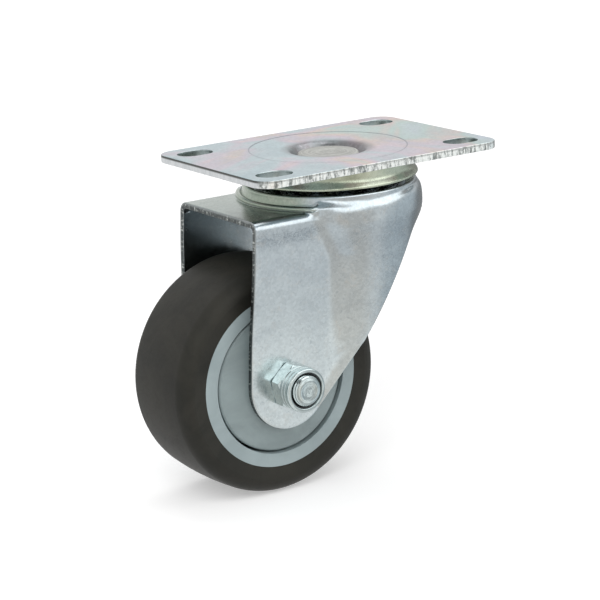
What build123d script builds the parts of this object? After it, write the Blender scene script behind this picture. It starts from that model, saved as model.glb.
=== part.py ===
from build123d import *
import math
import os

os.makedirs("parts", exist_ok=True)

# Swivel castor with a slotted top plate, a double ball race and a pressed fork.
# The origin is the centre of the plate's top face, on the swivel axis, and +Z is up.
# The wheel trails towards -X, and its axle lies along Y, with the lock nut at -Y.

# Top plate, with a pressed dish and a well for the king rivet
plate_length = 92.0
plate_width = 64.0
plate_thickness = 2.5
plate_corner_radius = 6.0
plate_edge_break = 0.3
slot_inset_x = 10.0
slot_inset_y = 9.0
slot_width = 8.4
slot_length = 12.0
dish_radius = 25.6
dish_drop = 0.6
well_radius = 12.6
well_floor_radius = 10.6
well_depth = 3.6
well_wall_shift = 2.0
well_foot_shift = 1.6

# King rivet and its washer
rivet_radius = 6.0
rivet_head_radius = 9.9
rivet_head_height = 2.0
rivet_head_chamfer = 0.4
rivet_foot_radius = 8.2
rivet_foot_height = 3.0
rivet_washer_radius = 8.7
rivet_washer_thickness = 1.5
rivet_clearance = 0.1

# Swivel balls, as pitch radius, ball radius and groove depth
upper_pitch_radius = 22.0
upper_ball_radius = 3.175
upper_ball_count = 16
upper_groove_depth = 0.475
lower_pitch_radius = 16.5
lower_ball_radius = 2.38
lower_ball_count = 14
lower_groove_depth = 0.4
ball_clearance = 0.1

# Upper race, a pressed ring that hangs as a skirt under the plate
upper_race_thickness = 1.8
upper_race_bore_radius = 15.5
upper_race_shoulder_radius = 27.4
upper_race_rim_radius = 28.7
upper_race_height = 6.1
upper_race_bend = 1.6
upper_race_waist = 2.7
upper_race_lip = 1.8
upper_race_lip_width = 1.4

# Lower race, a pressed cup closed by the king rivet
cup_thickness = 2.0
cup_neck_radius = 11.0
cup_rim_radius = 21.6
cup_rim_height = 1.8
cup_groove_depth = 0.45
cup_corner = 1.0
cup_heel = 1.2
cup_lip_width = 1.6

# Fork, pressed from one sheet
sheet = 2.0
crown_top_depth = 10.2
crown_bore_radius = 12.6
crown_radius = 28.2
crown_edge_radius = 0.8
crown_flare_top = 1.2
crown_flare_foot = 1.4
skirt_radius = 30.0
skirt_tuck = 0.5
skirt_taper = 0.4
skirt_fade_depth = 24.0
skirt_fade_width = 7.0
skirt_full_depth = 19.0
skirt_bottom_depth = 20.5
shelf_depth = 14.6
leg_gap = 2.6
leg_pinch = 1.7
leg_pinch_depth = 26.0
leg_settle_rise = 10.5
leg_section_shares = (0, 0.1, 0.28, 0.52, 0.76, 1)
leg_flat_step = 3.0
leg_flare_depth = 1.0
bend_radius = 3.2
shelf_front = 43.0
leg_end_radius = 14.4
knee_x = -4.3
knee_depth = 59.6
haunch_x = 12.3
haunch_depth = 30.5
knee_fillet = 8.0
haunch_fillet = 14.0
flare_start_top = 24.0
flare_start = 17.5
flare_end_top = 15.5
flare_end = 5.5
flare_settle = 15.0
flare_ease = 0.45

# Wheel
wheel_radius = 37.5
wheel_width = 32.0
axle_trail = 32.0
axle_depth = 68.5
tyre_shoulder_radius = 4.8
tyre_depth = 7.3
tyre_lip_depth = 2.1
tyre_face_dish = 0.4
tread_crown = 0.5
tread_lean = 0.1
rim_seat_inset = 3.0
rim_key_depth = 1.6
rim_key_width = 7.0
rim_step = 1.0
rim_wall = 4.3
rim_draft = 0.5
web_thickness = 4.0
rib_count = 8
rib_thickness = 2.0
rib_drop = 2.8
hub_radius = 17.4
hub_inset = 2.2

# Ball bearings in the hub
bearing_bore_radius = 6.0
bearing_outer_radius = 14.0
bearing_width = 8.0
bearing_depth = 7.6
inner_ring_radius = 8.5
outer_ring_radius = 11.6
wheel_pitch_radius = 10.05
wheel_ball_radius = 2.38
wheel_ball_count = 8
wheel_ball_clearance = 0.07
cage_thickness = 0.7
cage_width = 6.0
shield_thickness = 0.4
shield_inset = 0.3
shield_gap = 0.25
seat_clearance = 0.02
ring_chamfer = 0.4

# Axle set, through both legs
bolt_radius = 5.0
bolt_hole_radius = 5.15
bolt_end_reach = 10.6
bolt_head_across_flats = 16.0
bolt_head_height = 6.4
bolt_head_turn = 10.0
bolt_tip_chamfer = 1.1
hexagon_face_share = 0.95
hexagon_bevel_angle = 60.0
nut_across_flats = 13.4
nut_hex_height = 5.2
nut_height = 9.2
nut_collar_radius = 7.1
nut_corner_turn = 12.0
nut_collar_chamfer = 1.2
nut_lip_height = 0.6
nut_lip_width = 0.55
nut_clearance = 0.06
insert_radius = 6.2
insert_thickness = 2.0
sleeve_clearance = 0.15
spacer_wall = 1.9

# Thread guards, dished covers between the legs and the wheel
guard_edge_gap = 0.9
guard_thickness = 1.4
guard_edge_inset = 0.6
guard_boss_radius = 8.3
guard_boss_slope = 0.5
guard_dish = 2.4
guard_dish_foot = 1.5
guard_lip_width = 1.2
guard_lip_slope = 0.8
guard_lip_height = 0.6
guard_edge_round = 0.5
guard_edge_drop = 0.4
guard_face_gap = 0.12
fastener_seat_gap = 0.02

# How far a cutting tool runs past the face that it cuts
cut_margin = 1.0

# Widths that follow from the sizes above
slot_spacing_x = plate_length - 2 * slot_inset_x
slot_spacing_y = plate_width - 2 * slot_inset_y
leg_half_width = wheel_width / 2 + leg_gap + sheet
channel_half_width = leg_half_width + leg_pinch
leg_flare_radius = leg_half_width + leg_flare_depth
bolt_reach = leg_half_width + bolt_end_reach
rim_seat_width = wheel_width - 2 * rim_seat_inset
rim_seat_radius = wheel_radius - tyre_depth
rim_key_radius = rim_seat_radius - rim_key_depth
tyre_face_radius = rim_seat_radius - tyre_lip_depth
rim_bore_radius = tyre_face_radius - rim_wall
guard_radius = rim_bore_radius - guard_edge_gap
hub_width = wheel_width - 2 * hub_inset
bearing_spacing = hub_width - 2 * bearing_depth
rib_height = (hub_width - web_thickness) / 2 - rib_drop

# Heights that follow from the sizes above
leg_settle_depth = axle_depth - leg_settle_rise
plate_under_z = -plate_thickness
well_floor_z = -well_depth
well_under_z = well_floor_z - plate_thickness
crown_top_z = -crown_top_depth
crown_under_z = crown_top_z - sheet
shelf_z = -shelf_depth
axle_z = -axle_depth
axle_x = -axle_trail
upper_groove_radius = upper_ball_radius + ball_clearance
lower_groove_radius = lower_ball_radius + ball_clearance
upper_ball_z = crown_top_z - upper_groove_depth + upper_groove_radius
lower_ball_z = crown_under_z + lower_groove_depth - lower_groove_radius
cup_flange_z = lower_ball_z - lower_groove_radius + cup_groove_depth
well_shoulder_z = plate_under_z - dish_drop
bearing_inner_face = bearing_spacing / 2
bearing_outer_face = bearing_inner_face + bearing_width
bearing_middle = bearing_inner_face + bearing_width / 2
wheel_groove_radius = wheel_ball_radius + wheel_ball_clearance
leg_inner_face = leg_half_width - sheet
leg_tool_reach = skirt_radius + cut_margin
fastener_seat = leg_half_width + fastener_seat_gap
insert_seat = fastener_seat + nut_height - nut_lip_height - insert_thickness
axle_plane = Plane(origin=(axle_x, 0, axle_z), x_dir=(1, 0, 0), z_dir=(0, -1, 0))


def finish_piece(piece, name):
    """Give a finished piece its label and write it to its own file."""
    piece.label = name
    export_step(piece, f"parts/{name}.step")


def ring_profile(points):
    """Closed outline from (radius, height) points, drawn on the XZ plane."""
    with BuildSketch(Plane.XZ) as profile:
        with BuildLine():
            Polyline(*points, close=True)
        make_face()
    return profile.sketch


def turned_about_axle(points):
    """Body of revolution about the axle, from (radius, distance along +Y) points."""
    with BuildPart() as body:
        with BuildSketch(Plane.XY):
            with BuildLine():
                Polyline(*points, close=True)
            make_face()
        revolve(axis=Axis.Y)
    return body.part.translate((axle_x, 0, axle_z))


def under_plate(radius):
    """Height of the plate's underside between the well and the dish's edge."""
    well_edge = well_radius + well_wall_shift
    share = (dish_radius - radius) / (dish_radius - well_edge)
    return plate_under_z + share * (well_shoulder_z - plate_under_z)


# Mounting plate: flat sheet, slotted near its corners, dished round the rivet
with BuildPart() as mounting_plate:
    with BuildSketch(Plane.XY.offset(plate_under_z)):
        RectangleRounded(plate_length, plate_width, plate_corner_radius)
        Circle(dish_radius, mode=Mode.SUBTRACT)
        with GridLocations(slot_spacing_x, slot_spacing_y, 2, 2):
            SlotOverall(slot_length, slot_width, mode=Mode.SUBTRACT)
    extrude(amount=plate_thickness)
    chamfer(faces().sort_by(Axis.Z)[-1].outer_wire().edges(), plate_edge_break)
    add(
        ring_profile(
            [
                (rivet_radius + rivet_clearance, well_floor_z),
                (well_floor_radius, well_floor_z),
                (well_radius, -dish_drop),
                (dish_radius, 0),
                (dish_radius, plate_under_z),
                (well_radius + well_wall_shift, well_shoulder_z),
                (well_floor_radius + well_foot_shift, well_under_z),
                (rivet_radius + rivet_clearance, well_under_z),
            ]
        )
    )
    revolve(axis=Axis.Z)
finish_piece(mounting_plate.part, "mounting_plate")

# Upper race: pressed ring with a ball groove below and a flared skirt outside
with BuildPart() as upper_race:
    with BuildSketch(Plane.XZ):
        with BuildLine():
            rim_z = plate_under_z - upper_race_height
            bend_end_z = plate_under_z - upper_race_bend
            inner_shoulder = upper_race_shoulder_radius - upper_race_thickness
            top = Polyline(
                (upper_race_bore_radius, under_plate(upper_race_bore_radius)),
                (dish_radius, plate_under_z),
                (upper_race_shoulder_radius - upper_race_bend, plate_under_z),
            )
            shoulder = RadiusArc(
                top @ 1,
                (upper_race_shoulder_radius, bend_end_z),
                upper_race_bend,
            )
            flare = Bezier(
                shoulder @ 1,
                (upper_race_shoulder_radius, bend_end_z - upper_race_waist),
                (upper_race_rim_radius, rim_z + upper_race_lip),
                (upper_race_rim_radius, rim_z),
            )
            rim = Line(flare @ 1, (upper_race_rim_radius - upper_race_lip_width, rim_z))
            inside = Bezier(
                rim @ 1,
                (upper_race_rim_radius - upper_race_thickness, rim_z + upper_race_lip),
                (inner_shoulder, bend_end_z - upper_race_waist),
                (inner_shoulder, plate_under_z - upper_race_thickness),
            )
            Polyline(
                inside @ 1,
                (upper_race_bore_radius, under_plate(upper_race_bore_radius) - upper_race_thickness),
                top @ 0,
            )
        make_face()
    revolve(axis=Axis.Z)
    with BuildSketch(Plane.XZ):
        with Locations((upper_pitch_radius, upper_ball_z)):
            Circle(upper_groove_radius)
    revolve(axis=Axis.Z, mode=Mode.SUBTRACT)
finish_piece(upper_race.part, "upper_race")

# King rivet: flat head in the well, shank through plate and cup, closed foot
with BuildPart() as king_rivet:
    head_top_z = well_floor_z + rivet_head_height
    foot_top_z = well_under_z - cup_thickness - rivet_washer_thickness
    with BuildSketch(Plane.XZ):
        with BuildLine():
            shank = Polyline(
                (0, head_top_z),
                (rivet_head_radius - rivet_head_chamfer, head_top_z),
                (rivet_head_radius, head_top_z - rivet_head_chamfer),
                (rivet_head_radius, well_floor_z),
                (rivet_radius, well_floor_z),
                (rivet_radius, foot_top_z),
                (rivet_foot_radius, foot_top_z),
            )
            foot = Spline(
                shank @ 1,
                (0, foot_top_z - rivet_foot_height),
                tangents=[(0, -1), (-1, 0)],
            )
            Line(foot @ 1, shank @ 0)
        make_face()
    revolve(axis=Axis.Z)
finish_piece(king_rivet.part, "king_rivet")

# Rivet washer, under the cup's top
with BuildPart() as rivet_washer:
    with BuildSketch(Plane.XY.offset(foot_top_z)):
        Circle(rivet_washer_radius)
        Circle(rivet_radius + rivet_clearance, mode=Mode.SUBTRACT)
    extrude(amount=rivet_washer_thickness)
finish_piece(rivet_washer.part, "rivet_washer")

# Lower race: pressed cup whose neck meets the plate's well, with a ball groove in its flange
with BuildPart() as lower_race:
    cup_bottom_z = cup_flange_z - cup_thickness
    add(
        ring_profile(
            [
                (rivet_radius + rivet_clearance, well_under_z),
                (cup_neck_radius - cup_corner, well_under_z),
                (cup_neck_radius, well_under_z - cup_corner),
                (cup_neck_radius, cup_flange_z + cup_heel),
                (cup_neck_radius + cup_heel, cup_flange_z),
                (cup_rim_radius - cup_thickness, cup_flange_z),
                (cup_rim_radius - cup_lip_width, cup_flange_z + cup_rim_height),
                (cup_rim_radius, cup_flange_z + cup_rim_height),
                (cup_rim_radius, cup_flange_z - cup_corner),
                (cup_rim_radius - cup_corner, cup_bottom_z),
                (cup_neck_radius, cup_bottom_z),
                (cup_neck_radius - cup_thickness, cup_bottom_z + cup_heel),
                (cup_neck_radius - cup_thickness, well_under_z - cup_thickness),
                (rivet_radius + rivet_clearance, well_under_z - cup_thickness),
            ]
        )
    )
    revolve(axis=Axis.Z)
    with BuildSketch(Plane.XZ):
        with Locations((lower_pitch_radius, lower_ball_z)):
            Circle(lower_groove_radius)
    revolve(axis=Axis.Z, mode=Mode.SUBTRACT)
finish_piece(lower_race.part, "lower_race")

# Swivel balls, one full ring above the fork's crown and one below
with BuildPart() as upper_balls:
    with Locations((0, 0, upper_ball_z)):
        with PolarLocations(upper_pitch_radius, upper_ball_count):
            Sphere(upper_ball_radius)
finish_piece(upper_balls.part, "upper_balls")

with BuildPart() as lower_balls:
    with Locations((0, 0, lower_ball_z)):
        with PolarLocations(lower_pitch_radius, lower_ball_count):
            Sphere(lower_ball_radius)
finish_piece(lower_balls.part, "lower_balls")


# Fork. Its legs start as the sides of a channel, and flare outwards behind the
# axle line to follow the round skirt, which narrows towards the axle.
def leg_share(z, start_depth, end_depth):
    """How far a height lies between two depths, from 0 at the upper to 1 at the lower."""
    return min(1.0, max(0.0, (-z - start_depth) / (end_depth - start_depth)))


def fork_section(z, inset):
    """Horizontal outline of the fork at one height, moved inwards by inset."""
    pinch = leg_share(z, leg_pinch_depth, leg_settle_depth)
    eased = pinch**2 * (3 - 2 * pinch)
    half = channel_half_width + (leg_half_width - channel_half_width) * eased - inset
    full = skirt_radius - skirt_tuck
    radius = full + (leg_flare_radius - full) * leg_share(z, skirt_full_depth, axle_depth)
    settled = min(1.0, (shelf_z - z) / flare_settle)
    start_x = -(flare_start_top + (flare_start - flare_start_top) * settled)
    end_x = -(flare_end_top + (flare_end - flare_end_top) * settled)
    angle = math.acos(end_x / radius)
    end = Vector(math.cos(angle), math.sin(angle)) * (radius - inset)
    along = Vector(math.sin(angle), -math.cos(angle))
    reach = (end.X - start_x) * flare_ease
    front_x = -shelf_front - leg_end_radius
    with BuildSketch(Plane.XY.offset(z)) as section:
        with BuildLine():
            side = Line((front_x, half), (start_x, half))
            Bezier(side @ 1, (start_x + reach, half), end - along * reach, end)
            ThreePointArc(end, (radius - inset, 0), (end.X, -end.Y))
            back = end - along * reach
            Bezier((end.X, -end.Y), (back.X, -back.Y), (start_x + reach, -half), (start_x, -half))
            Polyline((start_x, -half), (front_x, -half), (front_x, half))
        make_face()
    return section.sketch


def channel_body(inset, radius):
    """Channel and skirt as one body, its top edges rounded."""
    top = shelf_depth + inset
    end = axle_depth + leg_end_radius + leg_flat_step
    depths = [top + (leg_settle_depth - top) * share for share in leg_section_shares]
    depths += [leg_settle_depth + leg_flat_step, axle_depth, (axle_depth + end) / 2, end]
    with BuildPart() as body:
        loft([fork_section(-depth, inset) for depth in depths])
        rim = body.edges().group_by(Axis.Z)[-1].sort_by(Axis.X)[1:]
        fillet(rim, radius)
    return body.part


def crown_body(inset):
    """Round crown above the shelf, flared to the skirt's radius."""
    top = crown_top_z - inset
    waist = top - crown_edge_radius
    foot = shelf_z - inset / 2
    fade_z = -skirt_fade_depth
    skirt_foot = skirt_radius - skirt_taper - inset
    with BuildPart() as body:
        with BuildSketch(Plane.XZ):
            with BuildLine():
                lid = Line((0, top), (crown_radius - inset - crown_edge_radius, top))
                edge = RadiusArc(lid @ 1, (crown_radius - inset, waist), crown_edge_radius)
                flare = Bezier(
                    edge @ 1,
                    (crown_radius - inset, waist - crown_flare_top),
                    (skirt_radius - inset, foot + crown_flare_foot),
                    (skirt_radius - inset, foot),
                )
                Polyline(
                    flare @ 1,
                    (skirt_radius - inset, -skirt_full_depth),
                    (skirt_foot, -skirt_bottom_depth),
                    (skirt_foot - skirt_fade_width, fade_z),
                    (0, fade_z),
                    (0, top),
                )
            make_face()
        revolve(axis=Axis.Z)
    return body.part


def touch_point(point, radius, side):
    """Where the tangent from a point, in the XZ plane, meets a circle round the axle."""
    away = Vector(point[0] - axle_x, point[1] - axle_z)
    turn = math.degrees(math.acos(radius / away.length)) * side
    return Vector(axle_x, axle_z) + away.rotate(Axis.Z, turn).normalized() * radius


with BuildPart() as fork:
    add(channel_body(0, bend_radius))
    add(crown_body(0))
    add(channel_body(sheet, bend_radius - sheet), mode=Mode.SUBTRACT)
    add(crown_body(sheet), mode=Mode.SUBTRACT)
    with BuildSketch(Plane.XZ) as leg_side:
        with BuildLine():
            shelf_corner = (-shelf_front, shelf_z)
            front_touch = touch_point(shelf_corner, leg_end_radius, 1)
            knee = (knee_x, -knee_depth)
            rear_touch = touch_point(knee, leg_end_radius, -1)
            slope = (knee_depth - haunch_depth) / (haunch_x - knee_x)
            corner_x = haunch_x + (haunch_depth - skirt_bottom_depth) / slope
            Polyline(rear_touch, knee, (corner_x, -skirt_bottom_depth))
            Polyline(
                (corner_x, -skirt_bottom_depth),
                (leg_tool_reach, -skirt_bottom_depth),
                (leg_tool_reach, 0),
                (-shelf_front, 0),
                shelf_corner,
                front_touch,
            )
            ThreePointArc(
                front_touch,
                (axle_x - leg_end_radius * 0.5, axle_z - leg_end_radius * math.sqrt(0.75)),
                rear_touch,
            )
        make_face()
        fillet(leg_side.vertices().sort_by_distance(knee)[0], knee_fillet)
        fillet(leg_side.vertices().sort_by_distance((corner_x, -skirt_bottom_depth))[0], haunch_fillet)
    extrude(amount=leg_tool_reach, both=True, mode=Mode.INTERSECT)
    with BuildSketch(Plane.XY.offset(crown_under_z - cut_margin)):
        Circle(crown_bore_radius)
    extrude(amount=sheet + 2 * cut_margin, mode=Mode.SUBTRACT)
    for pitch, height, radius in (
        (upper_pitch_radius, upper_ball_z, upper_groove_radius),
        (lower_pitch_radius, lower_ball_z, lower_groove_radius),
    ):
        with BuildSketch(Plane.XZ):
            with Locations((pitch, height)):
                Circle(radius)
        revolve(axis=Axis.Z, mode=Mode.SUBTRACT)
    with BuildSketch(axle_plane):
        Circle(bolt_hole_radius)
    extrude(amount=leg_tool_reach, both=True, mode=Mode.SUBTRACT)
finish_piece(fork.part, "fork")

# Axle bolt: hexagon head outside the leg at +Y, shank to beyond the nut at -Y
with BuildPart() as axle_bolt:
    head_plane = axle_plane.offset(-fastener_seat - bolt_head_height)
    with BuildSketch(head_plane):
        RegularPolygon(
            bolt_head_across_flats / 2, 6, major_radius=False, rotation=bolt_head_turn
        )
    extrude(amount=bolt_head_height)
    with BuildSketch(head_plane):
        Circle(bolt_head_across_flats / 2 * hexagon_face_share)
    extrude(amount=bolt_head_height, taper=-hexagon_bevel_angle, mode=Mode.INTERSECT)
    with BuildSketch(axle_plane.offset(-fastener_seat)):
        Circle(bolt_radius)
    extrude(amount=fastener_seat + bolt_reach)
    chamfer(faces().sort_by(Axis.Y)[0].edges(), bolt_tip_chamfer)
finish_piece(axle_bolt.part, "axle_bolt")

# Lock nut: hexagon with a round collar that holds a plastic ring
with BuildPart() as lock_nut:
    with BuildSketch(axle_plane.offset(fastener_seat)):
        RegularPolygon(nut_across_flats / 2, 6, major_radius=False, rotation=nut_corner_turn)
    extrude(amount=nut_hex_height)
    with BuildSketch(axle_plane.offset(fastener_seat + nut_hex_height)):
        Circle(nut_across_flats / 2 * hexagon_face_share)
    extrude(amount=-nut_hex_height, taper=-hexagon_bevel_angle, mode=Mode.INTERSECT)
    with BuildSketch(axle_plane.offset(fastener_seat)):
        Circle(nut_collar_radius)
    extrude(amount=nut_height)
    chamfer(faces().sort_by(Axis.Y)[0].edges(), nut_collar_chamfer)
    with BuildSketch(axle_plane.offset(fastener_seat)):
        Circle(bolt_radius + nut_clearance)
    extrude(amount=nut_height, mode=Mode.SUBTRACT)
    with BuildSketch(axle_plane.offset(insert_seat)):
        Circle(insert_radius)
    extrude(amount=insert_thickness, mode=Mode.SUBTRACT)
    with BuildSketch(axle_plane.offset(insert_seat)):
        Circle(insert_radius - nut_lip_width)
    extrude(amount=nut_height, mode=Mode.SUBTRACT)
finish_piece(lock_nut.part, "lock_nut")

# Plastic ring held in the nut's collar
with BuildPart() as nut_insert:
    with BuildSketch(axle_plane.offset(insert_seat)):
        Circle(insert_radius)
        Circle(bolt_radius + nut_clearance, mode=Mode.SUBTRACT)
    extrude(amount=insert_thickness)
finish_piece(nut_insert.part, "nut_insert")

# Axle sleeve, clamped between the legs and carrying both bearings
with BuildPart() as axle_sleeve:
    with BuildSketch(axle_plane):
        Circle(bearing_bore_radius - seat_clearance)
        Circle(bolt_radius + sleeve_clearance, mode=Mode.SUBTRACT)
    extrude(amount=leg_inner_face - guard_face_gap, both=True)
finish_piece(axle_sleeve.part, "axle_sleeve")

# Spacer between the two inner rings
with BuildPart() as bearing_spacer:
    with BuildSketch(axle_plane):
        Circle(bearing_bore_radius + spacer_wall)
        Circle(bearing_bore_radius, mode=Mode.SUBTRACT)
    extrude(amount=bearing_inner_face, both=True)
finish_piece(bearing_spacer.part, "bearing_spacer")

# Wheel core: rim, central web with ribs on both sides, and hub
with BuildPart() as wheel_core:
    rim_half = wheel_width / 2 - tyre_face_dish
    with BuildSketch(Plane.XY):
        with BuildLine():
            Polyline(
                (outer_ring_radius, 0),
                (outer_ring_radius, bearing_inner_face),
                (bearing_outer_radius + seat_clearance, bearing_inner_face),
                (bearing_outer_radius + seat_clearance, hub_width / 2),
                (hub_radius, hub_width / 2),
                (hub_radius + rim_draft, web_thickness / 2),
                (rim_bore_radius - rim_draft, web_thickness / 2),
                (rim_bore_radius, rim_half),
                (tyre_face_radius, rim_half),
                (tyre_face_radius, rim_seat_width / 2 + rim_step),
                (rim_seat_radius, rim_seat_width / 2),
                (rim_seat_radius, rim_key_width / 2 + rim_step),
                (rim_key_radius, rim_key_width / 2),
                (rim_key_radius, 0),
                close=True,
            )
        make_face()
        mirror(about=Plane.XZ)
    revolve(axis=Axis.Y)
    with BuildSketch(Plane.XZ.offset(-web_thickness / 2 - rib_height)):
        with PolarLocations((hub_radius + rim_bore_radius) / 2, rib_count):
            Rectangle(rim_bore_radius - hub_radius + cut_margin, rib_thickness)
    extrude(amount=2 * rib_height + web_thickness)
finish_piece(wheel_core.part.translate((axle_x, 0, axle_z)), "wheel_core")

# Tyre: moulded over the rim, with a slightly crowned tread and round shoulders
with BuildPart() as tyre:
    half = wheel_width / 2
    with BuildSketch(Plane.XY):
        with BuildLine():
            inner = Polyline(
                (rim_key_radius, 0),
                (rim_key_radius, rim_key_width / 2),
                (rim_seat_radius, rim_key_width / 2 + rim_step),
                (rim_seat_radius, rim_seat_width / 2),
                (tyre_face_radius, rim_seat_width / 2 + rim_step),
                (tyre_face_radius, half - tyre_face_dish),
                (wheel_radius - tread_crown - tyre_shoulder_radius, half),
            )
            shoulder = RadiusArc(
                inner @ 1,
                (wheel_radius - tread_crown, half - tyre_shoulder_radius),
                tyre_shoulder_radius,
            )
            tread = Spline(
                shoulder @ 1,
                (wheel_radius, 0),
                tangents=[(tread_lean, -1), (0, -1)],
            )
            Line(tread @ 1, inner @ 0)
        make_face()
        mirror(about=Plane.XZ)
    revolve(axis=Axis.Y)
finish_piece(tyre.part.translate((axle_x, 0, axle_z)), "tyre")

# The same bearing and thread guard on each side, with +1 for the bolt head's side
for side, suffix in ((1, "head_side"), (-1, "nut_side")):
    middle = side * bearing_middle
    near = side * bearing_inner_face
    far = side * bearing_outer_face
    bevel = side * ring_chamfer

    with BuildPart() as inner_ring:
        add(
            turned_about_axle(
                [
                    (bearing_bore_radius, near),
                    (inner_ring_radius, near),
                    (inner_ring_radius, far),
                    (bearing_bore_radius + ring_chamfer, far),
                    (bearing_bore_radius, far - bevel),
                ]
            )
        )
        with BuildSketch(Plane.XY.offset(axle_z)):
            with Locations((axle_x + wheel_pitch_radius, middle)):
                Circle(wheel_groove_radius)
        revolve(axis=Axis((axle_x, 0, axle_z), (0, 1, 0)), mode=Mode.SUBTRACT)
    finish_piece(inner_ring.part, f"inner_ring_{suffix}")

    with BuildPart() as outer_ring:
        add(
            turned_about_axle(
                [
                    (outer_ring_radius, near),
                    (bearing_outer_radius, near),
                    (bearing_outer_radius, far - bevel),
                    (bearing_outer_radius - ring_chamfer, far),
                    (outer_ring_radius, far),
                ]
            )
        )
        with BuildSketch(Plane.XY.offset(axle_z)):
            with Locations((axle_x + wheel_pitch_radius, middle)):
                Circle(wheel_groove_radius)
        revolve(axis=Axis((axle_x, 0, axle_z), (0, 1, 0)), mode=Mode.SUBTRACT)
    finish_piece(outer_ring.part, f"outer_ring_{suffix}")

    ball_plane = axle_plane.offset(-middle)
    with BuildPart() as wheel_balls:
        with Locations(ball_plane):
            with PolarLocations(wheel_pitch_radius, wheel_ball_count):
                Sphere(wheel_ball_radius)
    finish_piece(wheel_balls.part, f"wheel_balls_{suffix}")

    with BuildPart() as ball_cage:
        with BuildSketch(ball_plane):
            Circle(wheel_pitch_radius + cage_thickness / 2)
            Circle(wheel_pitch_radius - cage_thickness / 2, mode=Mode.SUBTRACT)
        extrude(amount=cage_width / 2, both=True)
        with Locations(ball_plane):
            with PolarLocations(wheel_pitch_radius, wheel_ball_count):
                Cylinder(
                    wheel_groove_radius,
                    cage_thickness + 2 * cut_margin,
                    rotation=(0, 90, 0),
                    mode=Mode.SUBTRACT,
                )
    finish_piece(ball_cage.part, f"ball_cage_{suffix}")

    shield_face = far - side * shield_inset
    with BuildPart() as bearing_shield:
        add(
            turned_about_axle(
                [
                    (inner_ring_radius + shield_gap, shield_face),
                    (outer_ring_radius - seat_clearance, shield_face),
                    (outer_ring_radius - seat_clearance, shield_face - side * shield_thickness),
                    (inner_ring_radius + shield_gap, shield_face - side * shield_thickness),
                ]
            )
        )
    finish_piece(bearing_shield.part, f"bearing_shield_{suffix}")

    # The guard's boss bears on the inner ring, and its face on the leg.
    leg_face = side * (leg_inner_face - guard_face_gap)
    rim_face = side * (wheel_width / 2 - tyre_face_dish - guard_edge_inset)
    thickness = side * guard_thickness
    lip_face = rim_face - thickness - side * guard_lip_height
    with BuildPart() as thread_guard:
        add(
            turned_about_axle(
                [
                    (bearing_bore_radius, far),
                    (guard_boss_radius, far),
                    (guard_boss_radius, rim_face + side * guard_dish - thickness),
                    (guard_radius - guard_lip_width - guard_lip_slope, rim_face - thickness),
                    (guard_radius - guard_lip_width, lip_face),
                    (guard_radius, lip_face),
                    (guard_radius, rim_face - side * guard_edge_drop),
                    (guard_radius - guard_edge_round, rim_face),
                    (guard_boss_radius + guard_dish_foot, rim_face + side * guard_dish),
                    (guard_boss_radius + guard_boss_slope, leg_face),
                    (bearing_bore_radius, leg_face),
                ]
            )
        )
    finish_piece(thread_guard.part, f"thread_guard_{suffix}")
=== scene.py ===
import bmesh
import bpy
import math
import numpy as np
from mathutils import Matrix, Vector


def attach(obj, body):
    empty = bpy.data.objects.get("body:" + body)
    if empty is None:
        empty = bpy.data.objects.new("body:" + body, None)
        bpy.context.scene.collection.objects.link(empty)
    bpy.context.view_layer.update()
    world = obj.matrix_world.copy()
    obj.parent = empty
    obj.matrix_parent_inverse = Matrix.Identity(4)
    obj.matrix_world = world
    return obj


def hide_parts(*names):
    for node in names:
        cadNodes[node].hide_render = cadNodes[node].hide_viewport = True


# Swivel castor: the dressed pieces, in the CAD frame. Shapes are worked out in mm and
# put into the meshes in metres. The nut's side of the axle looks at the camera.
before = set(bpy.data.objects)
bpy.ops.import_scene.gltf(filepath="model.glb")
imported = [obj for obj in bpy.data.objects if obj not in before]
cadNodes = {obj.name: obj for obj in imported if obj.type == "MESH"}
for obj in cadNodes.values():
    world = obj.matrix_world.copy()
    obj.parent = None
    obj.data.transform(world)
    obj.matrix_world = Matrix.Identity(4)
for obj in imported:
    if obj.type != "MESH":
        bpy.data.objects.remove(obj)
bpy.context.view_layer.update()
mm = 0.001
axleX, axleZ = -32.0, -68.5
weldReach = 0.002  # borders closer than this are one
print("stage: frame loaded")


def patch(points, paper=None, finish=0, wear=None):
    # points is a grid (rows, columns, 3) in mm and paper its (u, v) in mm: without one, the
    # mean length run along rows and columns. finish is a material slot, wear a value a point.
    rows, columns = points.shape[:2]
    if paper is None:
        across = np.linalg.norm(np.diff(points, axis=1), axis=2).mean(0)
        down = np.linalg.norm(np.diff(points, axis=0), axis=2).mean(1)
        u, v = np.meshgrid(np.append(0, np.cumsum(across)), np.append(0, np.cumsum(down)))
        paper = np.stack([u, v], axis=-1)
    if wear is None:
        wear = np.zeros((rows, columns))
    return {"points": points, "paper": paper, "finish": finish, "wear": wear}


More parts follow.
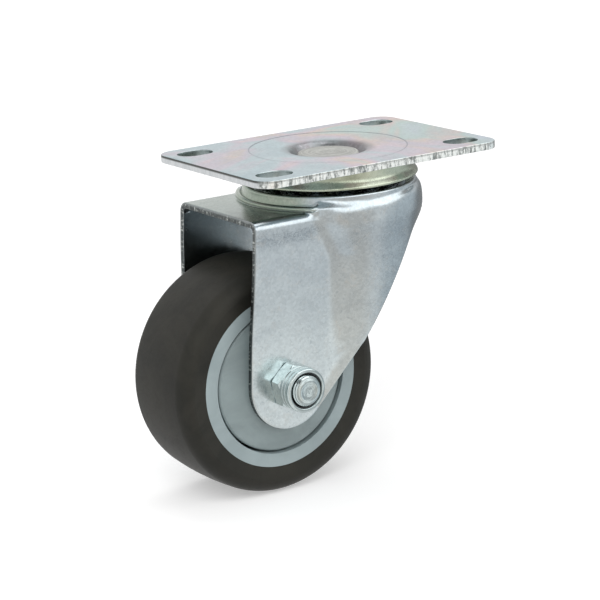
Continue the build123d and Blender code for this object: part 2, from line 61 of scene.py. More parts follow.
def buildPiece(name, patches, looks, body, stands):
    # Each cell of a grid is one quad. Patches are welded where their borders meet, and then
    # the faces are turned outwards.
    points, quads, papers, kinds, wears, start = [], [], [], [], [], 0
    for part in patches:
        rows, columns = part["points"].shape[:2]
        index = start + np.arange(rows * columns).reshape(rows, columns)
        quad = np.stack([index[:-1, :-1], index[1:, :-1], index[1:, 1:], index[:-1, 1:]], axis=-1)
        quads.append(quad.reshape(-1, 4))
        points.append(part["points"].reshape(-1, 3))
        papers.append(part["paper"].reshape(-1, 2))
        wears.append(part["wear"].reshape(-1))
        kinds.append(np.full(quads[-1].shape[0], part["finish"]))
        start += rows * columns
    points, quads = np.concatenate(points) * mm, np.concatenate(quads)
    mesh = bpy.data.meshes.new(name)
    mesh.from_pydata(points.tolist(), [], quads.tolist())
    mesh.polygons.foreach_set("material_index", np.concatenate(kinds).astype(np.int32))
    mesh.polygons.foreach_set("use_smooth", np.ones(len(quads), bool))
    layer = mesh.uv_layers.new(name="paper")
    layer.data.foreach_set("uv", np.concatenate(papers)[quads.reshape(-1)].reshape(-1) * mm)
    worn = mesh.attributes.new("wear", "FLOAT", "POINT")
    worn.data.foreach_set("value", np.concatenate(wears).astype(np.float32))
    cleaner = bmesh.new()
    cleaner.from_mesh(mesh)
    bmesh.ops.remove_doubles(cleaner, verts=cleaner.verts, dist=weldReach * mm)
    bmesh.ops.recalc_face_normals(cleaner, faces=cleaner.faces)
    cleaner.to_mesh(mesh)
    cleaner.free()
    for look in looks:
        mesh.materials.append(finishes[look])
    piece = bpy.data.objects.new(name, mesh)
    bpy.context.scene.collection.objects.link(piece)
    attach(piece, body)
    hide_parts(*stands)
    return piece


def softenShading(piece):
    # large flat faces keep their own normal, and the small round ones between them turn
    settle = piece.modifiers.new("settle", "WEIGHTED_NORMAL")
    settle.weight = 90
    settle.keep_sharp = True
    return piece


def softEdges(piece, width, angle=50):
    # a small round along every cut edge
    bevel = piece.modifiers.new("softEdges", "BEVEL")
    bevel.width, bevel.segments = width * mm, 2
    bevel.limit_method, bevel.angle_limit = "ANGLE", math.radians(angle)
    bevel.use_clamp_overlap = False
    return softenShading(piece)


def rounded(corners, steps=4, closed=False):
    # Walks a list of (radius, along, corner radius): every corner gives way to an arc that
    # touches both of its sides, the arc swung evenly from one touching point to the other.
    corners = np.array(corners, float)
    count = len(corners)
    run = []
    for i in range(count):
        here, size = corners[i, :2], corners[i, 2]
        if size <= 0 or (not closed and i in (0, count - 1)):
            run.append(here[None])
            continue
        back, ahead = corners[i - 1, :2] - here, corners[(i + 1) % count, :2] - here
        backLength, aheadLength = np.linalg.norm(back), np.linalg.norm(ahead)
        back, ahead = back / backLength, ahead / aheadLength
        half = math.acos(np.clip(back @ ahead, -1, 1)) / 2
        if abs(half - math.pi / 2) < 0.01:
            run.append(here[None])
            continue
        reach = min(size / math.tan(half), 0.48 * backLength, 0.48 * aheadLength)
        size = reach * math.tan(half)
        middle = here + (back + ahead) / np.linalg.norm(back + ahead) * size / math.sin(half)
        first, last = here + back * reach - middle, here + ahead * reach - middle
        turn = math.pi - 2 * half
        share = np.linspace(0, 1, steps + 1)[:, None]
        arc = np.sin((1 - share) * turn) * first + np.sin(share * turn) * last
        run.append(middle + arc / math.sin(turn))
    run = np.concatenate(run)
    return np.concatenate([run, run[:1]]) if closed else run


def turned(profile, steps, about="axle"):
    # Body of revolution: each (radius, along) point of the profile is carried round the axis,
    # in even steps or to the angles given.
    angle = np.linspace(0, 2 * math.pi, steps + 1) if np.isscalar(steps) else steps
    radius, along = profile[:, :1], np.broadcast_to(profile[:, 1:2], (len(profile), len(angle)))
    flat, upright = radius * np.cos(angle), radius * np.sin(angle)
    if about == "axle":
        points = np.stack([axleX + flat, along, axleZ + upright], axis=-1)
    else:
        points = np.stack([flat, upright, along], axis=-1)
    down = np.append(0, np.cumsum(np.linalg.norm(np.diff(profile, axis=0), axis=1)))
    u, v = np.meshgrid(angle * profile[:, 0].max(), down)
    return patch(points, np.stack([u, v], axis=-1))


def feed(tree, socket, value):
    # a socket takes a link from another node, or a plain value
    if isinstance(value, bpy.types.NodeSocket):
        tree.links.new(value, socket)
    else:
        socket.default_value = value


def add(tree, kind, inputs=None, **settings):
    # one shader node: its settings first, because they decide which sockets it has
    made = tree.nodes.new("ShaderNode" + kind)
    for key, value in settings.items():
        setattr(made, key, value)
    for key, value in (inputs or {}).items():
        feed(tree, made.inputs[key], value)
    return made


def calculate(tree, operation, *values, clamp=False):
    # one sum of the Math node
    made = add(tree, "Math", operation=operation, use_clamp=clamp)
    for socket, value in zip(made.inputs, values):
        feed(tree, socket, value)
    return made.outputs[0]


def times(tree, first, second, plus=0.0):
    # first x second + plus
    return calculate(tree, "MULTIPLY_ADD", first, second, plus)


def minus(tree, first, second):
    return calculate(tree, "SUBTRACT", first, second)


def mix(tree, share, first, second):
    # the first colour where share is 0, the second where it is 1
    made = add(tree, "Mix", {0: share, 6: first, 7: second}, data_type="RGBA")
    return made.outputs[2]


def spread(tree, value, low, high, toLow=0.0, toHigh=1.0):
    # eases from toLow to toHigh while the value goes from low to high
    inputs = {"Value": value, "From Min": low, "From Max": high, "To Min": toLow, "To Max": toHigh}
    return add(tree, "MapRange", inputs, interpolation_type="SMOOTHSTEP").outputs["Result"]


def grain(tree, where, scale, detail=2.0, rough=0.5, twist=0.0):
    # cloudy noise, 0 to 1, with scale as grains per metre
    inputs = {"Vector": where, "Scale": scale, "Detail": detail, "Roughness": rough, "Distortion": twist}
    return add(tree, "TexNoise", inputs).outputs["Fac"]


def stretched(tree, where, scale, turn=(0.0, 0.0, 0.0)):
    return add(tree, "Mapping", {"Vector": where, "Scale": scale, "Rotation": turn}).outputs[0]


def axes(tree, vector):
    return add(tree, "SeparateXYZ", {"Vector": vector}).outputs


def distance(tree, first, second):
    # root of the sum of two squares
    return calculate(tree, "SQRT", times(tree, first, first, times(tree, second, second)))


def rgb(colour):
    # a 0 to 255 screen colour as the linear colour that the shader takes
    channel = np.array(colour) / 255
    linear = np.where(channel <= 0.04045, channel / 12.92, ((channel + 0.055) / 1.055) ** 2.4)
    return (*linear.tolist(), 1.0)


def newGroup(name, inputs, outputs):
    # inputs and outputs map each socket's name to its kind
    group = bpy.data.node_groups.new(name, "ShaderNodeTree")
    for way, sockets in (("INPUT", inputs), ("OUTPUT", outputs)):
        for label, kind in sockets.items():
            group.interface.new_socket(label, in_out=way, socket_type="NodeSocket" + kind)
    given = group.nodes.new("NodeGroupInput").outputs
    return group, given, group.nodes.new("NodeGroupOutput").inputs


def closeGroup(group, result, **values):
    # hands each value to the group's output of that name
    for label, value in values.items():
        group.links.new(value, result[label])
    return group


skinOutputs = {"Color": "Color", "Roughness": "Float", "Height": "Float"}


def zincGroup():
    # bright zinc plate: broad clouds, fine spangle, sparse dark specks and a faint tinted bloom
    inputs = {"Where": "Vector", "Tint": "Color", "Shade": "Color", "Bloom": "Color"}
    inputs.update(Clouds="Float", Specks="Float", Gloss="Float")
    group, given, result = newGroup("zincSkin", inputs, skinOutputs)
    where = given["Where"]
    patchy = grain(group, where, 260, 3, 0.65, 1.2)
    fine = grain(group, where, 1500, 3, 0.7)
    cells = add(group, "TexVoronoi", {"Vector": where, "Scale": 1300.0}).outputs["Color"]
    spangle = add(group, "SeparateColor", {"Color": cells}).outputs[0]
    cloud = spread(group, grain(group, where, 70, 4, 0.6, 0.6), 0.38, 0.68)
    colour = mix(group, times(group, cloud, given["Clouds"]), given["Tint"], given["Shade"])
    bloom = times(group, spread(group, patchy, 0.5, 0.8), 0.3)
    colour = mix(group, bloom, colour, given["Bloom"])
    speck = spread(group, grain(group, where, 900, 2, 0.6), 0.58, 0.74)
    speck = times(group, speck, given["Specks"])
    colour = mix(group, times(group, speck, 0.75), colour, given["Shade"])
    twinkle = times(group, spangle, 0.14, 0.93)
    colour = add(group, "HueSaturation", {"Color": colour, "Value": twinkle}).outputs[0]
    rough = times(group, patchy, 0.16, minus(group, given["Gloss"], 0.08))
    rough = times(group, speck, 0.15, times(group, fine, 0.1, rough))
    height = times(group, fine, 0.35, times(group, patchy, 0.65))
    height = times(group, speck, -0.4, height)
    return closeGroup(group, result, Color=colour, Roughness=rough, Height=height)


def mouldedGroup():
    # moulded plastic or rubber: slow mottling, an eroded fine grain and dull rubbed places
    inputs = {"Where": "Vector", "Tint": "Color", "Shade": "Color"}
    inputs.update(Grain="Float", Gloss="Float", Rubbed="Float")
    group, given, result = newGroup("mouldedSkin", inputs, skinOutputs)
    where = given["Where"]
    slow = grain(group, where, 60, 4, 0.6, 0.8)
    fine = grain(group, where, given["Grain"], 3, 0.65)
    rubbed = spread(group, grain(group, where, 240, 4, 0.7, 1.0), 0.5, 0.72)
    rubbed = times(group, rubbed, given["Rubbed"])
    colour = mix(group, spread(group, slow, 0.35, 0.7), given["Tint"], given["Shade"])
    pitted = times(group, spread(group, fine, 0.55, 0.8), 0.35)
    colour = mix(group, pitted, colour, given["Shade"])
    faded = {"Color": colour, "Saturation": 0.85, "Value": 1.12}
    lighter = add(group, "HueSaturation", faded).outputs[0]
    colour = mix(group, times(group, rubbed, 0.7), colour, lighter)
    rough = times(group, fine, 0.14, minus(group, given["Gloss"], 0.07))
    rough = times(group, rubbed, 0.12, rough)
    height = times(group, fine, 0.7, times(group, slow, 0.3))
    return closeGroup(group, result, Color=colour, Roughness=rough, Height=height)


def turnedGroup():
    # rings left by a lathe: bands of noise along the radius, broken up round the turn
    outputs = {"Rings": "Float", "Scratch": "Float"}
    group, given, result = newGroup("latheRings", {"Where": "Vector", "Pitch": "Float"}, outputs)
    away = axes(group, given["Where"])
    angle = calculate(group, "ARCTAN2", away[2], away[0])
    band = add(group, "CombineXYZ", {
        "X": times(group, distance(group, away[0], away[2]), given["Pitch"]),
        "Y": times(group, calculate(group, "COSINE", angle), 0.6),
        "Z": times(group, calculate(group, "SINE", angle), 0.6),
    }).outputs[0]
    scratch = spread(group, grain(group, band, 3.1, 2, 0.7), 0.56, 0.68)
    return closeGroup(group, result, Rings=grain(group, band, 1.0, 3, 0.6), Scratch=scratch)


zincSkin, mouldedSkin, latheRings = zincGroup(), mouldedGroup(), turnedGroup()


def newMaterial(name):
    # an empty finish: its tree, its surface and the place on the part that it reads
    material = bpy.data.materials.new(name)
    material.use_nodes = True
    tree = material.node_tree
    tree.nodes.clear()
    surface = add(tree, "BsdfPrincipled")
    add(tree, "OutputMaterial", {0: surface.outputs[0]})
    return material, tree, surface, add(tree, "TexCoord").outputs["Object"]


def useGroup(tree, group, **values):
    made = add(tree, "Group", node_tree=group)
    for label, value in values.items():
        feed(tree, made.inputs[label], value)
    return made.outputs


def dress(tree, surface, colour, rough, height, strength, distance, metallic=1.0):
    # a metal unless it is told otherwise, with height as its relief in steps of distance
    surface.inputs["Metallic"].default_value = metallic
    feed(tree, surface.inputs["Base Color"], colour)
    feed(tree, surface.inputs["Roughness"], rough)
    bump = add(tree, "Bump", {"Height": height, "Strength": strength, "Distance": distance})
    feed(tree, surface.inputs["Normal"], bump.outputs[0])


def zincMaterial(name, tint, shade, bloom, clouds=0.5, specks=0.5, gloss=0.3):
    material, tree, surface, where = newMaterial(name)
    skin = useGroup(
        tree, zincSkin, Where=where, Tint=rgb(tint), Shade=rgb(shade), Bloom=rgb(bloom),
        Clouds=clouds, Specks=specks, Gloss=gloss)
    dress(tree, surface, skin["Color"], skin["Roughness"], skin["Height"], 0.35, 0.00002)
    return material


def mouldedMaterial(name, tint, shade, fineness, gloss, rubbed, depth=0.00002, level=0.5):
    material, tree, surface, where = newMaterial(name)
    skin = useGroup(
        tree, mouldedSkin, Where=where, Tint=rgb(tint), Shade=rgb(shade),
        Grain=fineness, Gloss=gloss, Rubbed=rubbed)
    surface.inputs["Specular IOR Level"].default_value = level
    dress(tree, surface, skin["Color"], skin["Roughness"], skin["Height"], 0.3, depth, 0.0)
    return material


def latheMaterial(name, tint, shade, gloss, pitch=2600.0, lathe=1):
    # lathe is the axis that the piece was turned about: 1 the axle, 2 the swivel axis. The
    # rings show only on the faces that stand square to it.
    material, tree, surface, where = newMaterial(name)
    centring = {"Location": (-axleX * mm, 0, -axleZ * mm)}
    if lathe == 2:
        centring = {"Rotation": (math.pi / 2, 0, 0)}
    centred = add(tree, "Mapping", {"Vector": where, **centring}).outputs[0]
    rings = useGroup(tree, latheRings, Where=centred, Pitch=pitch)
    skin = useGroup(
        tree, zincSkin, Where=where, Tint=rgb(tint), Shade=rgb(shade), Bloom=rgb(tint),
        Clouds=0.3, Specks=0.3, Gloss=gloss)
    facing = axes(tree, add(tree, "TexCoord").outputs["Normal"])[lathe]
    facing = spread(tree, calculate(tree, "ABSOLUTE", facing), 0.5, 0.9)
    ringed = times(tree, rings["Rings"], facing)
    mark = spread(tree, rings["Rings"], 0.42, 0.58)
    mark = times(tree, mark, 0.5, times(tree, rings["Scratch"], 0.4))
    colour = mix(tree, times(tree, mark, facing), skin["Color"], rgb(shade))
    rough = times(tree, ringed, 0.16, minus(tree, skin["Roughness"], 0.08))
    dress(tree, surface, colour, rough, ringed, 0.5, 0.00007)
    return material


# the lighter foot colour is a painted floor reflection, and the dark inside pair is painted shade
forkLook = {
    "body": (170, 179, 184), "foot": (196, 205, 206), "head": (148, 159, 146), "shade": (134, 145, 154),
    "headShade": (110, 120, 104), "drawn": (124, 134, 142), "bloom": (196, 192, 184),
    "insideShade": (70, 78, 74), "insideShadeDark": (50, 56, 52), "gloss": 0.17,
}


def forkMaterial(name, insideShade):
    # The press leaves darker, rougher specks where it drew the sheet, and the head is greener. Painted
    # reflection lightens the legs towards their foot, and painted shade darkens the inside of the legs.
    look = {key: rgb(value) for key, value in forkLook.items() if key != "gloss"}
    material, tree, surface, where = newMaterial(name)
    place = axes(tree, where)
    front = spread(tree, place[0], -0.0245, -0.0190, 1.0, 0.0)
    head = times(tree, spread(tree, place[2], -0.0152, -0.0142), front)
    # painted reflection: the legs lighten towards their foot, as though they mirrored the floor
    body = spread(tree, place[2], -0.075, -0.022, 0.0, 0.8)
    tint = mix(tree, body, look["foot"], look["body"])
    tint = mix(tree, head, tint, look["head"])
    shade = mix(tree, head, look["shade"], look["headShade"])
    broken = spread(tree, grain(tree, where, 150, 3, 0.6, 0.6), 0.3, 0.6, 0.35, 1.0)
    stipple = spread(tree, grain(tree, where, 2300, 2, 0.7), 0.42, 0.62)
    wear = add(tree, "Attribute", attribute_name="wear").outputs["Fac"]
    drawn = times(tree, times(tree, wear, broken), times(tree, stipple, 0.6, 0.4))
    tint = mix(tree, times(tree, drawn, 0.75), tint, look["drawn"])
    # painted shade: the inside faces mix towards a dark colour
    tint = mix(tree, insideShade, tint, look["insideShade"])
    shade = mix(tree, insideShade, shade, look["insideShadeDark"])
    skin = useGroup(
        tree, zincSkin, Where=where, Tint=tint, Shade=shade, Bloom=look["bloom"],
        Clouds=0.2, Specks=times(tree, drawn, 0.6, 0.3), Gloss=forkLook["gloss"])
    rough = times(tree, drawn, 0.12, skin["Roughness"])
    dress(tree, surface, skin["Color"], rough, skin["Height"], 0.35, 0.00002)
    return material


plateLook = {
    "film": [
        (0.0, (172, 192, 198)), (0.3, (184, 199, 203)), (0.48, (202, 190, 200)),
        (0.6, (210, 192, 184)), (0.74, (182, 201, 196)), (1.0, (188, 198, 208)),
    ],
    "filmScale": 16, "filmSpan": 0.62, "filmSlope": 6.0, "filmStart": 0.18,
    # the dish's line and the cone's dark colour are painted shade
    "line": (112, 112, 126), "coneShade": (92, 90, 88), "shade": (168, 180, 186), "bloom": (204, 198, 206),
}


def plateMaterial():
    # Zinc with a thin passivation film: slow bands of pink, orange and cyan over the grey,
    # further on in the film's order towards +X. A dark line of painted shade rings the dish in
    # its groove, and painted shade darkens the cone round the rivet.
    look = plateLook
    material, tree, surface, where = newMaterial("plateZinc")
    away = axes(tree, where)
    thicker = times(tree, away[0], look["filmSlope"], look["filmStart"])
    slow = spread(tree, grain(tree, where, look["filmScale"], 3, 0.55, 1.6), 0.3, 0.7)
    film = add(tree, "ValToRGB", {"Fac": times(tree, slow, look["filmSpan"], thicker)})
    ramp = film.color_ramp.elements
    ramp.remove(ramp[0])
    ramp[0].position, ramp[0].color = look["film"][0][0], rgb(look["film"][0][1])
    for position, shown in look["film"][1:]:
        ramp.new(position).color = rgb(shown)
    radius = distance(tree, away[0], away[1])
    # painted shade: a dark line in the groove at the dish's edge
    outer = spread(tree, radius, 0.0256, 0.02585, 1.0, 0.0)
    line = times(tree, spread(tree, radius, 0.0252, 0.02545), outer)
    # painted shade: a dark ring over the sloped cone round the rivet
    outer = spread(tree, radius, 0.0116, 0.0165, 1.0, 0.0)
    coneShade = times(tree, spread(tree, radius, 0.0098, 0.0106), outer)
    tint = mix(tree, times(tree, line, 0.75), film.outputs[0], rgb(look["line"]))
    tint = mix(tree, times(tree, coneShade, 0.8), tint, rgb(look["coneShade"]))
    skin = useGroup(
        tree, zincSkin, Where=where, Tint=tint, Shade=rgb(look["shade"]), Bloom=rgb(look["bloom"]),
        Clouds=0.4, Specks=0.2, Gloss=0.3)
    dress(tree, surface, skin["Color"], skin["Roughness"], skin["Height"], 0.35, 0.00002)
    return material


def plateEdgeMaterial():
    # The punched rim: a dark roll-over above, then on the long sides torn metal with bright
    # streaks across the thickness, and on the short ones a smoother burnished band.
    material, tree, surface, where = newMaterial("plateRim")
    place = axes(tree, where)
    short = spread(tree, calculate(tree, "ABSOLUTE", place[0]), 0.0450, 0.0458)
    streak = stretched(tree, where, (900, 900, 210), (0.0, 0.5, 0.0))
    streak = grain(tree, streak, 1.0, 3, 0.7, 0.25)
    fleck = grain(tree, where, 1500, 3, 0.7)
    bright = spread(tree, times(tree, fleck, 0.3, times(tree, streak, 0.7)), 0.38, 0.56)
    torn = mix(tree, bright, rgb((122, 127, 125)), rgb((244, 247, 244)))
    band = mix(tree, spread(tree, streak, 0.3, 0.7), rgb((196, 200, 202)), rgb((214, 216, 218)))
    under = spread(tree, place[2], -0.0010, -0.0005)
    band = mix(tree, under, band, rgb((84, 86, 84)))
    torn = mix(tree, times(tree, under, 0.5), torn, rgb((120, 124, 122)))
    ridged = times(tree, fleck, 0.4, streak)
    height = times(tree, ridged, times(tree, short, -0.8, 1.0))
    rough = times(tree, fleck, 0.25, 0.2)
    dress(tree, surface, mix(tree, short, torn, band), rough, height, 0.8, 0.00015)
    return material


def shearedMaterial():
    # a cut edge: bright burnished strip, then torn metal with streaks across the thickness
    material, tree, surface, where = newMaterial("shearedEdge")
    paper = add(tree, "UVMap", uv_map="paper").outputs[0]
    streak = grain(tree, stretched(tree, paper, (1400, 260, 1)), 1.0, 3, 0.65, 0.3)
    fleck = grain(tree, where, 1600, 3, 0.7)
    across = times(tree, streak, 0.0012, axes(tree, paper)[1])
    torn = spread(tree, across, 0.0006, 0.0016)
    bright = spread(tree, times(tree, fleck, 0.4, times(tree, streak, 0.6)), 0.5, 0.66)
    colour = mix(tree, bright, rgb((74, 79, 79)), rgb((210, 214, 210)))
    colour = mix(tree, minus(tree, 1.0, torn), colour, rgb((150, 156, 156)))
    height = calculate(tree, "ADD", streak, fleck)
    dress(tree, surface, colour, times(tree, fleck, 0.3, 0.25), height, 0.8, 0.00012)
    return material


finishes = {
    "plate": plateMaterial(), "plateRim": plateEdgeMaterial(),
    "slotWall": zincMaterial("slotWall", (166, 178, 178), (104, 114, 114), (190, 198, 196), 0.8, 0.4),
    "race": zincMaterial("raceZinc", (180, 187, 170), (126, 134, 114), (176, 188, 164), 0.6, gloss=0.22),
    "fork": forkMaterial("forkZinc", 0.0), "inside": forkMaterial("forkInside", 0.15),
    "sheared": shearedMaterial(),
    "rivet": latheMaterial("rivetSteel", (194, 195, 190), (150, 150, 146), 0.42, 1400.0, 2),
    "fastener": latheMaterial("fastenerZinc", (202, 214, 214), (104, 114, 116), 0.16),
    # the nut's plastic ring is made near black as painted shade, for it sits in the collar's shadow
    "insert": mouldedMaterial("insertShadedPlastic", (30, 31, 33), (18, 19, 20), 1800.0, 0.4, 0.3),
    "core": mouldedMaterial("corePlastic", (160, 174, 176), (148, 162, 164), 1500.0, 0.42, 0.35),
    "cover": mouldedMaterial("coverPlastic", (148, 162, 163), (130, 143, 144), 1500.0, 0.42, 0.35),
    "rubber": mouldedMaterial("tyreRubber", (44, 43, 38), (33, 33, 29), 1300.0, 0.55, 0.5, 0.00003, 0.25),
    "steel": latheMaterial("bearingSteel", (184, 188, 190), (120, 124, 126), 0.25),
    "cage": mouldedMaterial("cageSteel", (120, 122, 122), (90, 92, 92), 1500.0, 0.4, 0.3),
}
nodeFinish = {
    "mounting_plate": "plate", "upper_race": "race", "lower_race": "race", "king_rivet": "rivet",
    "rivet_washer": "rivet", "fork": "fork", "axle_bolt": "fastener", "lock_nut": "fastener",
    "nut_insert": "insert", "wheel_core": "core", "thread_guard": "cover", "tyre": "rubber",
    "ball_cage": "cage",
}
for name, node in cadNodes.items():
    chosen = next((finish for start, finish in nodeFinish.items() if name.startswith(start)), "steel")
    node.material_slots[0].material = finishes[chosen]
print("stage: finishes made")


# The fork's sizes. An inset is the way in from the sheet's outer face.
fork = {
    "sheet": 2.0, "crownTop": -10.2, "crownBore": 12.6, "crownRadius": 28.2, "crownEdge": 0.8,
    "flareTop": 1.2, "flareFoot": 1.4, "skirtRadius": 30.0, "shelf": -14.6, "bend": 3.2, "skirtBottom": -20.5,
    "front": -43.0, "lean": 0.0636, "channelHalf": 22.3, "legHalf": 20.6, "pinchFrom": 26.0, "pinchTo": 58.0,
    "flareFrom": (24.0, 17.5), "flareTo": (15.5, 5.5), "flareSettle": 15.0, "flareEase": 0.45,
    "legRadius": (29.5, 21.6), "narrowFrom": -19.0, "skirtEase": 12.0, "endRadius": 14.4,
    "knee": (-4.3, -59.6), "kneeRound": 8.0, "haunch": (12.3, -30.5), "haunchRound": 14.0,
    "boltHole": 5.15, "cutRound": 0.22, "soften": 0.6,
    # the bead in front, which ends at beadTurn degrees, and the valley above it
    "beadTurn": 46.0, "beadFade": (2.6, 6.0), "beadRadius": 0.95, "beadPlace": (29.55, -14.05),
    "beadSpan": (168.0, -36.0), "beadFoot": [(0.92, 0.06), (1.1, 0.01), (1.35, 0.0)],
    "valley": (28.75, -13.5), "valleyPull": (-0.25, 0.55), "waistDrop": 1.3,
    # the slope that takes over behind it, as (outwards, down, share of domeDrop) from the rim
    "domeFrom": 43.0, "domeReach": 24.0, "domeDrop": 1.3, "dropFrom": 80.0, "dropReach": 50.0,
    "dome": [(0.0, 0.0, 0.0), (0.0, 0.4, 0.6), (0.3, 0.5, 1.0), (0.8, 1.2, 1.0), (1.35, 2.0, 1.0)],
    "domeFoot": 3.1,
    # how many points each grid has over the shelf, its bend, the leg, the rear and down the wall
    "flatPoints": 16, "bendPoints": 11, "legPoints": 87, "rearPoints": 22, "shoulderPoints": 48,
    "wallPoints": 8, "ringPoints": 15, "cutPoints": 4,
}


def ease(share):
    # 3s2 - 2s3 for a share s held between 0 and 1
    share = np.clip(share, 0, 1)
    return share ** 2 * (3 - 2 * share)


def bezier(a, b, c, d, t):
    # the cubic curve from a to d, which b and c pull at
    return a * (1 - t) ** 3 + 3 * b * t * (1 - t) ** 2 + 3 * c * t ** 2 * (1 - t) + d * t ** 3


def legSide(x, z, inset):
    # Half width of the fork at a height: straight beside the wheel, then an eased curve out
    # to a circle about the swivel axis whose radius shrinks towards the axle. The curve's
    # place for each x is found by halving the interval of its own parameter.
    f = fork
    pinch = ease((-z - f["pinchFrom"]) / (f["pinchTo"] - f["pinchFrom"]))
    half = f["channelHalf"] + (f["legHalf"] - f["channelHalf"]) * pinch - inset
    full, narrow = f["legRadius"]
    sink = ease((f["shelf"] - z) / f["skirtEase"])
    lower = np.clip((f["narrowFrom"] - z) / (f["narrowFrom"] - axleZ), 0, 1)
    radius = full + (narrow - full) * lower + (f["skirtRadius"] - full) * (1 - sink)
    settled = np.clip((f["shelf"] - z) / f["flareSettle"], 0, 1)
    startX = -(f["flareFrom"][0] + (f["flareFrom"][1] - f["flareFrom"][0]) * settled)
    endX = -(f["flareTo"][0] + (f["flareTo"][1] - f["flareTo"][0]) * settled)
    angle = np.arccos(endX / radius)
    endX, endY = np.cos(angle) * (radius - inset), np.sin(angle) * (radius - inset)
    pull = (endX - startX) * f["flareEase"]
    backX, backY = endX - np.sin(angle) * pull, endY + np.cos(angle) * pull
    low, high = np.zeros(np.shape(x)), np.ones(np.shape(x))
    for _ in range(24):
        middle = (low + high) / 2
        short = bezier(startX, startX + pull, backX, endX, middle) < x
        low, high = np.where(short, middle, low), np.where(short, high, middle)
    curve = bezier(half, half, backY, endY, low)
    circle = np.sqrt(np.maximum((radius - inset) ** 2 - x ** 2, 0))
    return np.where(x <= startX, half, np.where(x >= endX, circle, curve))


def wallRadius(angle, z, inset):
    # How far out from the swivel axis the wall stands in one direction, by halving
    angle, z = np.broadcast_arrays(angle, z)
    low, high = np.full(angle.shape, 10.0), np.full(angle.shape, 60.0)
    for _ in range(30):
        middle = (low + high) / 2
        inside = middle * np.sin(angle) < legSide(middle * np.cos(angle), z, inset)
        low, high = np.where(inside, middle, low), np.where(inside, high, middle)
    return (low + high) / 2


def crownRun(angle, inset):
    # (radius, height) down the crown for each direction: flat lid, rounded edge, hollow flare.
    # In front the flare ends in a valley and a round bead, which fades out at both ends.
    f = fork
    top, foot = f["crownTop"] - inset, f["shelf"] - inset
    edge, rim, skirt = f["crownEdge"], f["crownRadius"] - inset, f["skirtRadius"] - inset
    lid = np.stack([np.linspace(f["crownBore"], rim - edge, 9)[:-1], np.full(8, top)], axis=1)
    turn = np.linspace(math.pi / 2, 0, 8)[:-1]
    corner = np.stack([rim - edge + edge * np.cos(turn), top - edge + edge * np.sin(turn)], axis=1)
    waist = top - edge
    pulls = [(rim, waist), (rim, waist - f["flareTop"]), (skirt, foot + f["flareFoot"]), (skirt, foot)]
    flare = bezier(*np.array(pulls), np.linspace(0, 1, 34)[:, None])
    plain = np.concatenate([lid, corner, flare])[None].repeat(len(angle), axis=0)
    if inset:
        return plain
    valley, middle = f["valley"], np.array(f["beadPlace"])
    above = (valley[0] + f["valleyPull"][0], valley[1] + f["valleyPull"][1])
    pulls = [(rim, waist), (rim, waist - f["waistDrop"]), above, valley]
    down = bezier(*np.array(pulls), np.linspace(0, 1, 14)[:, None])
    turn = np.radians(np.linspace(*f["beadSpan"], 17))[:, None]
    ridge = middle + f["beadRadius"] * np.concatenate([np.cos(turn), np.sin(turn)], axis=1)
    landing = np.array([middle[0], f["shelf"]]) + f["beadFoot"]
    beaded = np.concatenate([lid, corner, down, ridge, landing])[None].repeat(len(angle), axis=0)
    quick, slow = f["beadFade"]
    fade = np.concatenate([np.full(15, slow), np.linspace(slow, quick, 14), np.full(20, quick)])
    near = (f["beadTurn"] - (180 - np.degrees(angle)))[:, None] / fade
    share = np.sqrt(ease(near + 0.5))[:, :, None]
    return plain + (beaded - plain) * share


def shoulderRun(angle, start, inset, rows):
    # From the crown's foot outwards for each direction: over the flat shelf to the bend, and
    # round it to the wall. Where the crown stands wider than the shelf, it drops to meet the
    # bend. A moving Gaussian mean along the run softens it, and its ends stay in place.
    f = fork
    bend, shelf, samples = f["bend"] - inset, f["shelf"] - inset, 160
    wall = wallRadius(angle, np.full(len(angle), shelf - bend), inset)
    skew = 1 / np.sqrt(1 + (np.gradient(wall, angle) / wall) ** 2)
    edge = np.where(np.cos(angle) < 0, f["front"] / np.minimum(np.cos(angle), -1e-9), 1e9)
    end = np.minimum(edge, wall)
    fromTurn = np.arcsin(np.clip(1 - (wall - start[:, 0]) * skew / bend, 0, 1))
    toTurn = np.arcsin(np.clip(1 - (wall - end) * skew / bend, 0, 1))
    meet = np.where(wall > start[:, 0], start[:, 0], wall)
    s = np.linspace(0, 1, 60)[None]
    outward = start[:, :1] + (meet - start[:, 0])[:, None] * ease(s)
    fall = shelf - bend * (1 - np.cos(fromTurn)) - start[:, 1]
    drop = np.stack([outward, start[:, 1:] + fall[:, None] * s], axis=-1)
    flatEnd = np.clip(wall - bend / skew, start[:, 0], np.maximum(end, start[:, 0]))
    outward = start[:, :1] + (flatEnd - start[:, 0])[:, None] * s
    flat = np.stack([outward, np.broadcast_to(shelf, outward.shape)], axis=-1)
    turn = fromTurn[:, None] + (toTurn - fromTurn)[:, None] * s
    outward = np.minimum(wall[:, None] - bend * (1 - np.sin(turn)) / skew[:, None], end[:, None])
    around = np.stack([outward, shelf - bend * (1 - np.cos(turn))], axis=-1)
    run = np.concatenate([np.where((fromTurn <= 0)[:, None, None], flat, drop), around], axis=1)
    gone = np.cumsum(np.linalg.norm(np.diff(run, axis=1), axis=2), axis=1)
    gone = np.concatenate([np.zeros((len(angle), 1)), gone], axis=1)
    even = np.linspace(0, 1, samples)
    path = [[np.interp(even * g[-1], g, line) for line in r.T] for g, r in zip(gone, run)]
    path = np.array(path).transpose(0, 2, 1)
    place = even[None] * gone[:, -1:]
    weight = np.exp(-(((place[:, :, None] - place[:, None]) / f["soften"]) ** 2) / 2)
    mean = weight @ path / weight.sum(axis=2, keepdims=True)
    hold = np.minimum(place, gone[:, -1:] - place) / (2 * f["soften"])
    path = path + (mean - path) * ease(hold[..., None])
    pick = np.linspace(0, samples - 1, rows)
    low = np.clip(np.floor(pick).astype(int), 0, samples - 2)
    part = (pick - low)[None, :, None]
    return path[:, low] * (1 - part) + path[:, low + 1] * part


